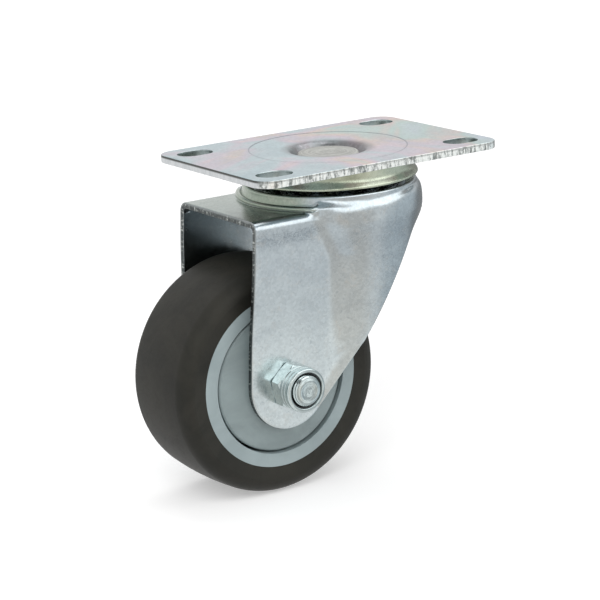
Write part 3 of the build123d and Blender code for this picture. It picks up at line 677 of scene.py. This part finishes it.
def roundShoulder(head, angle, inset):
    # Away from the front the crown runs into the wall without a shelf: a short collar, a
    # slope and a long round, as two joined curves. The slope starts higher towards the rear.
    f = fork
    turn = 180 - np.degrees(angle)
    rim, top = f["crownRadius"] - inset, f["crownTop"] - inset - f["crownEdge"]
    drop = f["domeDrop"] * (1 - ease((turn - f["dropFrom"]) / f["dropReach"]))
    spots = [(rim + out + 0 * turn, top - down - share * drop) for out, down, share in f["dome"]]
    spots += [(head[:, -1, 0], top - f["domeFoot"] - drop), (head[:, -1, 0], head[:, -1, 1])]
    spots = [np.stack(spot, axis=-1)[:, None] for spot in spots]
    upper = bezier(*spots[:4], np.linspace(0, 1, 31)[None, :, None])
    lower = bezier(*spots[3:], np.linspace(0, 1, 51)[None, :, None])[:, 1:]
    dome = np.concatenate([head[:, :15], upper, lower], axis=1)
    away = ease((turn - f["domeFrom"]) / f["domeReach"])[:, None, None]
    return head + (dome - head) * away


def legEdge():
    # The leg's outline in side view, as (x, z): haunch round, straight, knee round, a tangent,
    # and the round end, whose touching points are found from the circle's polar angles.
    f = fork
    knee, haunch = np.array(f["knee"]), np.array(f["haunch"])
    slope = (haunch - knee) / np.linalg.norm(haunch - knee)
    corner = haunch + slope * (f["skirtBottom"] - haunch[1]) / slope[1]
    away = knee - np.array([axleX, axleZ])
    turn = math.atan2(away[1], away[0]) - math.acos(f["endRadius"] / np.linalg.norm(away))
    touch = np.array([axleX + f["endRadius"] * math.cos(turn), axleZ + f["endRadius"] * math.sin(turn)])
    corners = [(60, corner[1], 0), (*corner, f["haunchRound"]), (*knee, f["kneeRound"]), (*touch, 0)]
    rear = rounded(corners, steps=40)
    away = np.array([f["front"] - axleX, f["shelf"] - axleZ])
    last = math.atan2(away[1], away[0]) + math.acos(f["endRadius"] / np.linalg.norm(away)) - 2 * math.pi
    swing = np.linspace(turn, last, 60)
    end = np.stack([axleX + f["endRadius"] * np.cos(swing), axleZ + f["endRadius"] * np.sin(swing)], axis=1)
    return rear[1:], end


def forkSurface(side, inset):
    # Grids of one half of one face of the sheet, and its borders in order: the head about the
    # swivel axis, the wall under it, the leg between its two edges, and a ring that runs
    # straight from the leg's round end in to the bolt's hole.
    f = fork
    shelf, half = f["shelf"], f["channelHalf"] - inset
    rear, end = legEdge()
    ringTop = axleZ + f["endRadius"]
    haunchX = rear[0, 0]
    wallAt = f["skirtBottom"]
    haunchY = float(legSide(np.array([haunchX]), np.array([wallAt]), inset)[0])
    acrossFlat = np.linspace(0, half - f["bend"] + inset, f["flatPoints"])[:-1]
    acrossBend = np.sin(np.linspace(0, math.pi / 2, f["bendPoints"]))
    acrossBend = half - (f["bend"] - inset) * (1 - acrossBend)
    frontTurn = np.arctan2(np.append(acrossFlat, acrossBend), f["front"])
    legTurn = np.linspace(frontTurn[-1], math.atan2(haunchY, haunchX), f["legPoints"])[1:]
    rearTurn = np.linspace(legTurn[-1], 0, f["rearPoints"])[1:]
    angle = np.concatenate([frontTurn, legTurn, rearTurn])
    crown = crownRun(angle, inset)
    shoulder = shoulderRun(angle, crown[:, -1], inset, f["shoulderPoints"])
    head = roundShoulder(np.concatenate([crown, shoulder[:, 1:]], axis=1), angle, inset)
    frontCount, legCount = len(frontTurn), len(legTurn)
    lowAngle = angle[frontCount - 1:]
    heights = np.linspace(shelf - f["bend"], wallAt, f["wallPoints"])
    wall = wallRadius(lowAngle[:, None], heights[None], inset)
    wall = np.stack([wall, np.broadcast_to(heights, wall.shape)], axis=-1)
    wall[:, 0] = head[frontCount - 1:, -1]

    def stand(run, turns):
        # the front edge leans forwards on its way down
        lean = 1 + f["lean"] * np.maximum(shelf - run[..., 1], 0) / -f["front"]
        out = np.where(np.cos(turns)[:, None] < 0, lean, 1)
        x = run[..., 0] * np.cos(turns)[:, None] * out
        y = side * run[..., 0] * np.sin(turns)[:, None]
        return np.stack([x, y, run[..., 1]], axis=-1).transpose(1, 0, 2)

    headGrid, wallGrid = stand(head, angle), stand(wall, lowAngle)
    seam = wallGrid[-1, :legCount + 1]
    share = (seam[:, 0] - seam[0, 0]) / (seam[-1, 0] - seam[0, 0])
    arc = wallAt - f["haunchRound"] * (1 - np.cos(np.linspace(0, math.radians(60), 16)))
    levels = np.concatenate([arc, np.linspace(arc[-1], ringTop, 48)[1:]])
    frontX = f["front"] - f["lean"] * (shelf - levels)
    rearX = np.interp(-levels, -rear[:, 1], rear[:, 0])
    x = frontX[:, None] + (rearX - frontX)[:, None] * share[None]
    z = np.broadcast_to(levels[:, None], x.shape)
    y = legSide(x, z, inset)
    miss = np.abs(seam[:, 1]) - y[0]
    y = y + miss[None] * np.clip(1 - (wallAt - z) / 6, 0, 1)
    legGrid = np.stack([x, side * y, z], axis=-1)
    lower = rear[rear[:, 1] < ringTop - 0.6]
    frontLow = np.linspace(end[-1, 1], ringTop, 14)[1:-1]
    frontLow = np.stack([f["front"] - f["lean"] * (shelf - frontLow), frontLow], axis=1)
    rest = np.concatenate([lower[:-1], end, frontLow])
    loop = np.concatenate([legGrid[-1][:, [0, 2]], rest, legGrid[-1][:1, [0, 2]]])
    middle = np.array([axleX, axleZ])
    out = loop - middle
    hole = middle + f["boltHole"] * out / np.linalg.norm(out, axis=1, keepdims=True)
    q = np.linspace(0, 1, f["ringPoints"])[:, None, None]
    ring = loop[None] + (hole - loop)[None] * q
    ringY = legSide(ring[..., 0], ring[..., 1], inset)
    ringGrid = np.stack([ring[..., 0], side * ringY, ring[..., 1]], axis=-1)
    ringGrid[0, :legCount + 1] = legGrid[-1]
    ringGrid[0, -1] = legGrid[-1, 0]
    around = np.concatenate([
        headGrid[-1, :frontCount], wallGrid[1:, 0], legGrid[1:, 0], ringGrid[0, legCount + 1:-1][::-1],
        legGrid[1:, -1][::-1], wallGrid[-1, legCount:],
    ])
    return [headGrid, wallGrid, legGrid, ringGrid], around, headGrid[0], ringGrid[-1]


# Where the press has drawn the sheet: a place and the length over which it comes or goes
pressMarks = {
    "bend": (-20.5, 2.6), "bendEnd": (-16.0, 6.0), "bendOut": 15.0, "shoulderX": (-8.0, 4.0),
    "shoulderZ": (-24.0, 5.0), "haunchX": (-7.0, 14.0), "haunchTop": (-16.0, 6.0),
    "haunchFoot": (-62.0, 12.0), "lip": (14.0, 8.0), "share": 0.8,
}


def strain(points):
    # 0 to 1, the most of four marks: a bell curve just under the bend, a bell curve on the
    # shoulder, and eased steps on the haunch and on the lip at the rear
    d = pressMarks
    x, y, z = points[..., 0], np.abs(points[..., 1]), points[..., 2]
    underBend = np.exp(-(((z - d["bend"][0]) / d["bend"][1]) ** 2)) * (y > d["bendOut"])
    underBend = underBend * ease((d["bendEnd"][0] - x) / d["bendEnd"][1])
    aside, below = ((p - d[key][0]) / d[key][1] for p, key in ((x, "shoulderX"), (z, "shoulderZ")))
    shoulder = np.exp(-(below ** 2) - aside ** 2)
    haunch = ease((x - d["haunchX"][0]) / d["haunchX"][1]) * ease((d["haunchTop"][0] - z) / d["haunchTop"][1])
    haunch = haunch * ease((z - d["haunchFoot"][0]) / d["haunchFoot"][1])
    lip = ease((x - d["lip"][0]) / d["lip"][1])
    rest = np.maximum(np.maximum(shoulder, haunch), lip) * d["share"]
    return np.clip(np.maximum(underBend, rest), 0, 1)


def buildFork():
    # both faces of both halves, and the cut edge between them as a strip from face to face
    patches = []
    for side in (-1, 1):
        faces, edges, rims = [], [], []
        for inset in (0.0, fork["sheet"]):
            grids, around, bore, hole = forkSurface(side, inset)
            inside = int(inset > 0)
            faces += [patch(grid, None, 2 * inside, strain(grid) * (1 - inside)) for grid in grids]
            edges.append(around)
            rims.append((bore, hole))
        patches += faces
        cuts = [(edges[0], edges[1]), (rims[0][0], rims[1][0]), (rims[0][1], rims[1][1])]
        q = np.linspace(0, 1, fork["cutPoints"])[:, None, None]
        patches += [patch(a[None] + (b - a)[None] * q, finish=1) for a, b in cuts]
    looks = ["fork", "sheared", "inside"]
    piece = buildPiece("forkShell", patches, looks, "fork", ["fork"])
    return softEdges(piece, fork["cutRound"])


buildFork()
print("stage: fork built")


# The plate's sizes. Its dish and its underside are (radius, height, corner radius) runs.
plate = {
    "half": (46.0, 32.0), "corner": 6.0, "thickness": 2.5, "slotAt": (36.0, 23.0), "slotStraight": 1.8,
    "slotRadius": 4.2, "dish": 25.6, "turns": (20.0, 60.0), "edge": 0.28, "shortPoints": 13, "longPoints": 19,
    "top": [
        (6.1, -3.6, 0), (10.5, -3.6, 0.5), (12.6, -0.62, 2.4), (16.5, -0.36, 3), (25.2, -0.03, 0),
        (25.42, -0.12, 0), (25.6, 0, 0),
    ],
    "under": [(6.1, -6.1, 0), (12.2, -6.1, 1.0), (14.6, -3.1, 1.2), (25.6, -2.5, 0)],
}


def slotReach(turn):
    # how far a slot's outline stands from its centre: its straight side, or one of its round ends
    side = plate["slotRadius"] / np.maximum(np.abs(np.sin(turn)), 1e-9)
    along = plate["slotStraight"] * np.abs(np.cos(turn))
    end = along + np.sqrt(along ** 2 - plate["slotStraight"] ** 2 + plate["slotRadius"] ** 2)
    return np.where(side * np.abs(np.cos(turn)) <= plate["slotStraight"], side, end)


def plateFace(z):
    # Grids of one flat face, each with its border at the rim and, where it has one, its slot.
    # They run outwards from the dish's circle, and the corner ones round the slot instead.
    halfX, halfY = plate["half"]
    dish, corner = plate["dish"], plate["corner"]
    first, second = np.radians(plate["turns"])
    share = np.linspace(0, 1, 9)[:, None]
    short, long = plate["shortPoints"], plate["longPoints"]

    def fan(turn, rim):
        start = dish * np.stack([np.cos(turn), np.sin(turn)], axis=-1)
        return start + (rim - start) * share[..., None]

    turn = np.linspace(-first, first, short)
    right = fan(turn, np.stack([np.full(short, halfX), halfX * np.tan(turn)], axis=-1))
    turn = np.linspace(second, math.pi - second, long)
    front = fan(turn, np.stack([halfY / np.tan(turn), np.full(long, halfY)], axis=-1))
    bend = np.linspace(0, math.pi / 2, 13)[:, None]
    bend = (halfX - corner, halfY - corner) + corner * np.concatenate([np.cos(bend), np.sin(bend)], axis=1)
    low, high = right[:, -1], front[:, 0]
    sideRun = low[-1] + (bend[0] - low[-1]) * np.linspace(0, 1, 9)[:-1, None]
    frontRun = bend[-1] + (high[-1] - bend[-1]) * np.linspace(0, 1, 11)[1:-1, None]
    turn = np.linspace(second, first, short)[1:-1, None]
    arc = dish * np.concatenate([np.cos(turn), np.sin(turn)], axis=1)
    loop = np.concatenate([low[:-1], sideRun, bend, frontRun, high[::-1], arc, low[:1]])
    slotAt = np.array(plate["slotAt"])
    away = loop - slotAt
    turn = np.arctan2(away[:, 1], away[:, 0])
    slot = slotAt + np.stack([np.cos(turn), np.sin(turn)], axis=1) * slotReach(turn)[:, None]
    ring = slot + (loop - slot) * np.linspace(0, 1, 10)[:, None, None]
    right, front, ring = (
        np.concatenate([grid, np.full(grid.shape[:2] + (1,), z)], axis=-1) for grid in (right, front, ring)
    )
    rimStart = len(low) - 1
    rim = ring[-1, rimStart:rimStart + len(sideRun) + len(bend) + len(frontRun) + 1]
    parts = []
    for sign in (1, -1):
        parts.append((right * (sign, 1, 1), right[-1] * (sign, 1, 1), None))
        parts.append((front * (1, sign, 1), front[-1] * (1, sign, 1), None))
        for flip in ((sign, 1, 1), (sign, -1, 1)):
            parts.append((ring * flip, rim * flip, ring[0] * flip))
    return parts


def buildPlate():
    # the dish is turned, the flat faces lie round it, and straight walls join top and underside
    top, under = plateFace(0.0), plateFace(-plate["thickness"])
    first, second = plate["turns"]
    short, long = plate["shortPoints"], plate["longPoints"]
    half = np.concatenate([
        np.linspace(-first, first, short)[:-1], np.linspace(first, second, short)[:-1],
        np.linspace(second, 180 - second, long)[:-1], np.linspace(180 - second, 180 - first, short)[:-1],
    ])
    turns = np.radians(np.concatenate([half, half + 180, [360 - first]]))
    dishTop, dishUnder = rounded(plate["top"], 5), rounded(plate["under"], 4)
    runs = (dishTop, dishUnder, np.stack([dishTop[0], dishUnder[0]]))
    patches = [turned(run, turns, "swivel") for run in runs]
    share = np.linspace(0, 1, 4)[:, None, None]
    for (grid, border, slot), (lowGrid, lowBorder, lowSlot) in zip(top, under):
        patches += [patch(grid), patch(lowGrid), patch(border + (lowBorder - border) * share, finish=1)]
        if slot is not None:
            patches.append(patch(slot + (lowSlot - slot) * share, finish=2))
    looks = ["plate", "plateRim", "slotWall"]
    piece = buildPiece("topPlate", patches, looks, "plate", ["mounting_plate"])
    return softEdges(piece, plate["edge"], 60)


buildPlate()
print("stage: plate built")


# The upper race, as (radius, height, corner radius), with its groove as (radius, height, size)
race = {
    "outside": [
        (15.5, -3.06, 0), (25.6, -2.5, 0.4), (27.4, -2.52, 1.6), (27.4, -6.1, 3.0), (28.7, -8.0, 1.6),
        (28.7, -8.6, 0.45),
    ],
    "inside": [
        (27.3, -8.6, 0.3), (27.0, -7.2, 1.2), (25.6, -5.9, 1.6), (25.6, -4.3, 0.8), (24.6, -4.36, 0.1),
    ],
    "inner": [(19.4, -4.65, 0.1), (15.5, -4.86, 0.2)], "groove": (22.0, -7.4, 3.275), "steps": 240,
}


def buildRace():
    # the skirt's profile goes over the shoulder, round its rim and back to the ball groove
    x, z, radius = race["groove"]
    ends = [math.atan2(corner[1] - z, corner[0] - x) for corner in (race["inside"][-1], race["inner"][0])]
    groove = [(x + radius * math.cos(t), z + radius * math.sin(t), 0) for t in np.linspace(*ends, 16)]
    corners = race["outside"] + race["inside"][:-1] + groove
    run = rounded([*corners, race["inner"][1], race["outside"][0]], 6)
    patches = [turned(run, race["steps"], "swivel")]
    piece = buildPiece("raceSkirt", patches, ["race"], "plate", ["upper_race"])
    return softenShading(piece)


buildRace()
print("stage: race built")


legFace = 20.62  # the leg's outer face, from the middle of the wheel
cornerPower, creasePower = 60, 70.0  # the higher, the sharper a corner or a crease


def hexagon(turn, flats, corner):
    # distance to a hexagon's side in each direction, its corners rounded by a power mean
    faces = np.radians(corner + 30 + 60 * np.arange(6))
    near = np.maximum(np.cos(turn[..., None] - faces), 1e-6)
    return flats / 2 / (near ** cornerPower).sum(axis=-1) ** (1 / cornerPower)


def barRadius(turn, along, flats, corner, height, slope):
    # A hexagon bar trimmed by a cone at each end, where the lesser of the three rules; the
    # lesser is taken as a power mean, which rounds the crease between them.
    outer, inner = flats * 0.478 + (height - along) * slope, flats * 0.497 + along * 2.4
    sides = (hexagon(turn, flats, corner), outer, inner)
    total = sum(np.broadcast_to(side, turn.shape) ** -creasePower for side in sides)
    return total ** (-1 / creasePower)


def aboutAxle(radius, along):
    # radius is a grid (rows, turn), along the rows' places on the axle's line
    turn = np.broadcast_to(np.linspace(0, 2 * math.pi, radius.shape[1]), radius.shape)
    along = np.broadcast_to(along, radius.shape)
    return patch(np.stack([axleX + radius * np.cos(turn), along, axleZ + radius * np.sin(turn)], axis=-1))


# The nut, with places counted outwards from the leg: a hexagon bar whose rows are (from, to,
# count), and a collar's run as (radius, place, corner radius)
nut = {
    "flats": 13.4, "corner": 42.0, "height": 5.0, "slope": 1.55, "points": 289,
    "rows": [(0, 0.45, 8), (0.7, 3.7, 8), (3.85, 4.7, 14)],
    "collarFoot": (6.2, 4.2), "collarRise": (0.9, 0.5),
    "collar": [
        (7.1, 4.75, 0), (7.12, 5.5, 0.1), (6.9, 5.75, 0.1), (7.12, 6.0, 0.2), (7.12, 7.2, 0.15),
        (6.98, 7.35, 0.1), (7.05, 7.5, 0.1), (7.05, 9.2, 1.1), (5.75, 9.2, 0.3), (5.62, 7.4, 0),
        (5.06, 7.4, 0), (5.06, 0.0, 0),
    ],
}


def buildNut():
    # the round collar rises out of the hexagon bar, and then the rows follow its own run
    n = nut
    along = np.concatenate([np.linspace(*span) for span in n["rows"]])[:, None]
    turn = np.linspace(0, 2 * math.pi, n["points"])[None].repeat(len(along), axis=0)
    bar = barRadius(turn, along, n["flats"], n["corner"], n["height"], n["slope"])
    (foot, start), (rise, length) = n["collarFoot"], n["collarRise"]
    collar = foot + rise * ease((along - start) / length)
    bar = (bar ** creasePower + collar ** creasePower) ** (1 / creasePower)
    run = rounded(n["collar"], 6)
    radius = np.concatenate([bar, run[:, :1].repeat(n["points"], axis=1), bar[:1]])
    along = np.concatenate([along, run[:, 1:], along[:1]])
    patches = [aboutAxle(radius, -(legFace + along))]
    piece = buildPiece("lockNut", patches, ["fastener"], "fork", ["lock_nut"])
    return softenShading(piece)


# The bolt. Its face is (radius, place) outwards from the far leg, its tip (radius, place) from
# the middle of the wheel towards the nut.
bolt = {
    "flats": 16.0, "corner": 40.0, "height": 6.4, "slope": 1.6, "radius": 5.0, "points": 193,
    "rows": [(6.4, 4.6, 16), (4.2, 0.9, 8), (0.5, 0, 6)],
    "pitch": 1.5, "depth": 0.42, "threadFrom": 26.0, "threadPoints": 64, "tipChamfer": 29.95, "tipSlope": 0.8,
    "face": [(0.0, 6.3), (3.0, 6.3), (6.0, 6.3), (6.8, 6.34), (7.3, 6.4)],
    "tip": [
        (4.35, 30.7), (3.9, 30.95), (3.3, 31.15), (3.12, 31.2), (2.9, 31.14), (2.4, 31.0), (1.2, 30.97),
        (0.0, 30.97),
    ],
}


def buildBolt():
    # Head, shank, thread and a dished tip, as one run of rows. The thread is a wave along the
    # bolt that moves on by one pitch in each turn, and it fades in over its first millimetre.
    b = bolt
    face, tip = np.array(b["face"]), np.array(b["tip"])
    along = np.concatenate([np.linspace(*span) for span in b["rows"]])[:, None]
    turn = np.linspace(0, 2 * math.pi, b["points"])[None]
    turns = turn.repeat(len(along), axis=0)
    bar = barRadius(turns, along, b["flats"], b["corner"], b["height"], b["slope"])
    rows = np.linspace(b["threadFrom"], b["tip"][0][1], b["threadPoints"])[:, None]
    wave = np.abs((rows / b["pitch"] - turn / (2 * math.pi)) % 1.0 * 2 - 1)
    groove = b["depth"] * ease(1.15 - wave * 1.3) * ease(rows - b["threadFrom"])
    thread = b["radius"] - np.maximum(groove, (rows - b["tipChamfer"]) * b["tipSlope"])
    shank = np.array([[legFace], [0.0], [0.05 - b["threadFrom"]]])
    whole = np.ones((1, b["points"]))
    radius = [face[:, :1] * whole, bar, np.full((3, 1), b["radius"]) * whole, thread, tip[:, :1] * whole]
    along = np.concatenate([legFace + face[:, 1:], legFace + along, shank, -rows, -tip[:, 1:]])
    patches = [aboutAxle(np.concatenate(radius), along)]
    piece = buildPiece("axleBolt", patches, ["fastener"], "fork", ["axle_bolt"])
    return softenShading(piece)


# The nut's plastic ring, as (radius, place from the middle of the wheel, corner radius)
insert = {
    "steps": 128,
    "ring": [(5.08, 27.3, 0), (6.2, 27.3, 0), (6.2, 29.28, 0), (5.45, 29.28, 0.2), (5.08, 28.9, 0.1)],
}


def buildInsert():
    # the closed profile is turned, with its places on the nut's side of the axle
    run = rounded(insert["ring"], 4, closed=True) * np.array([1, -1])
    patches = [turned(run, insert["steps"])]
    piece = buildPiece("nutRing", patches, ["insert"], "fork", ["nut_insert"])
    return softenShading(piece)


buildNut()
buildBolt()
buildInsert()
print("stage: axle set built")


# The studio. A lamp is its place in metres, its width and its power. What a mirror sees has a
# direction, the two cosines between which it comes in, and how far.
studio = {
    "floor": -106.0, "floorReach": 4.0, "skyLight": 0.5, "aim": (0.0, 0.0, -0.05),
    "lamps": {
        "keyLamp": ((-0.75, -0.75, 0.95), 0.9, 9.0), "fillLamp": ((0.9, -0.9, 0.35), 0.8, 4.0),
        "topLamp": ((0.2, 0.5, 1.2), 1.0, 5.0),
    },
    "windows": [
        ((0.53, -0.10, 0.84), 0.89, 0.97), ((0.0, -0.38, 0.925), 0.89, 0.97),
        ((0.54, -0.52, 0.66), 0.84, 0.95), ((-0.15, -0.77, 0.617), 0.85, 0.95),
    ],
    "windowLift": 1.3,
    "darks": [((-0.32, -0.48, 0.82), 0.93, 0.985, 0.1), ((0.84, 0.48, -0.26), 0.84, 0.97, 0.35)],
    "warm": ((-0.12, -0.96, -0.26), 0.80, 0.93), "warmColour": (1, 0.95, 0.9, 1), "warmLift": -0.1,
    "strip": ((0.43, -0.865, -0.26), 0.985, 0.998), "stripLift": 0.22,
    "cool": ((0.92, -0.28, -0.26), 0.78, 0.95), "coolColour": (0.9, 0.96, 1, 1), "coolLift": -0.14,
}
cameraView = {
    "turn": -0.58679128, "rise": 0.26259985, "roll": -0.04312463,
    "target": (74.428, 131.916, -91.222), "distance": 876.676, "lens": 131.978,
}


def placeCamera(view):
    # back points from the target to the camera, and right and up are turned by the roll
    turn, rise, roll = view["turn"], view["rise"], view["roll"]
    back = np.array([math.sin(turn) * math.cos(rise), -math.cos(turn) * math.cos(rise), math.sin(rise)])
    level = np.array([math.cos(turn), math.sin(turn), 0.0])
    upright = np.cross(back, level)
    right = math.cos(roll) * level + math.sin(roll) * upright
    up = -math.sin(roll) * level + math.cos(roll) * upright
    place = (np.array(view["target"]) + back * view["distance"]) * mm
    data = bpy.data.cameras.new("camera")
    data.lens, data.sensor_width, data.clip_start = view["lens"], 36.0, 0.01
    camera = bpy.data.objects.new("camera", data)
    rows = np.stack([right, up, back, place], axis=1).tolist()
    camera.matrix_world = Matrix([*rows, [0, 0, 0, 1]])
    bpy.context.scene.collection.objects.link(camera)
    bpy.context.scene.camera = camera


def placeLamp(name, place, size, power):
    # lamps aren't seen in mirrors: the world stands there for them
    data = bpy.data.lights.new(name, "AREA")
    data.shape, data.size, data.energy = "SQUARE", size, power
    lamp = bpy.data.objects.new(name, data)
    lamp.location, lamp.visible_glossy = place, False
    lamp.rotation_euler = (Vector(studio["aim"]) - Vector(place)).to_track_quat("-Z", "Y").to_euler()
    bpy.context.scene.collection.objects.link(lamp)


def buildFloor():
    far, low = studio["floorReach"], studio["floor"] * mm
    mesh = bpy.data.meshes.new("floor")
    corners = [(-far, -far, low), (far, -far, low), (far, far, low), (-far, far, low)]
    mesh.from_pydata(corners, [], [(0, 1, 2, 3)])
    floor = bpy.data.objects.new("floor", mesh)
    bpy.context.scene.collection.objects.link(floor)
    floor.visible_glossy = False
    paint = bpy.data.materials.new("floorPaint")
    paint.use_nodes = True
    tree = paint.node_tree
    tree.nodes.clear()
    path = add(tree, "LightPath").outputs
    seen = calculate(tree, "ADD", path["Is Camera Ray"], path["Is Glossy Ray"], clamp=True)
    seen = calculate(tree, "ADD", seen, path["Is Transmission Ray"], clamp=True)
    # the lamps reach less of the floor further out, so it glows more there
    away = add(tree, "VectorMath", {0: add(tree, "TexCoord").outputs["Object"]}, operation="LENGTH")
    glow = spread(tree, away.outputs["Value"], 0.4, 1.6, 0.38, 0.9)
    matte = add(tree, "BsdfDiffuse", {"Color": (0.8, 0.8, 0.8, 1)}).outputs[0]
    lift = add(tree, "Emission", {"Color": (1, 1, 1, 1), "Strength": times(tree, seen, glow)}).outputs[0]
    both = add(tree, "AddShader", {0: matte, 1: lift}).outputs[0]
    # the floor can be looked through from below
    below = add(tree, "NewGeometry").outputs["Backfacing"]
    clear = add(tree, "BsdfTransparent").outputs[0]
    add(tree, "OutputMaterial", {0: add(tree, "MixShader", {0: below, 1: both, 2: clear}).outputs[0]})
    mesh.materials.append(paint)


def buildWorld():
    # What a mirror sees: a white table and sweep all round, a long bright window overhead, a
    # dark gap above and behind the camera and a dark corner low down on the right. The table
    # is a little warm in front, has a lit strip beside that, and is cool at the right.
    sky = bpy.data.worlds.new("sky")
    sky.use_nodes = True
    tree = sky.node_tree
    tree.nodes.clear()
    path = add(tree, "LightPath").outputs
    glossy = path["Is Glossy Ray"]
    seen = calculate(tree, "ADD", path["Is Camera Ray"], path["Is Transmission Ray"], clamp=True)
    direction = add(tree, "TexCoord").outputs["Generated"]

    def towards(aim, low, high, toLow=0.0, toHigh=1.0):
        near = add(tree, "VectorMath", {0: direction, 1: aim}, operation="DOT_PRODUCT")
        return spread(tree, near.outputs["Value"], low, high, toLow, toHigh)

    window = 0.0
    for aim in studio["windows"]:
        window = calculate(tree, "MAXIMUM", towards(*aim), window)
    mirror = times(tree, window, studio["windowLift"], 1.0)
    for *aim, left in studio["darks"]:
        mirror = times(tree, mirror, towards(*aim, 1.0, left))
    warm, cool = towards(*studio["warm"]), towards(*studio["cool"])
    mirror = times(tree, mirror, times(tree, warm, studio["warmLift"], 1.0))
    mirror = times(tree, towards(*studio["strip"]), studio["stripLift"], mirror)
    mirror = times(tree, mirror, times(tree, cool, studio["coolLift"], 1.0))
    tint = mix(tree, times(tree, warm, glossy), (1, 1, 1, 1), studio["warmColour"])
    tint = mix(tree, times(tree, cool, glossy), tint, studio["coolColour"])
    plain = times(tree, minus(tree, 1.0, glossy), studio["skyLight"])
    strength = calculate(tree, "MAXIMUM", times(tree, glossy, mirror, plain), seen)
    background = add(tree, "Background", {"Color": tint, "Strength": strength})
    add(tree, "OutputWorld", {0: background.outputs[0]})
    bpy.context.scene.world = sky


buildFloor()
buildWorld()
for name, lamp in studio["lamps"].items():
    placeLamp(name, *lamp)
bpy.context.scene.view_settings.view_transform = "Standard"
placeCamera(cameraView)
print("stage: studio made")
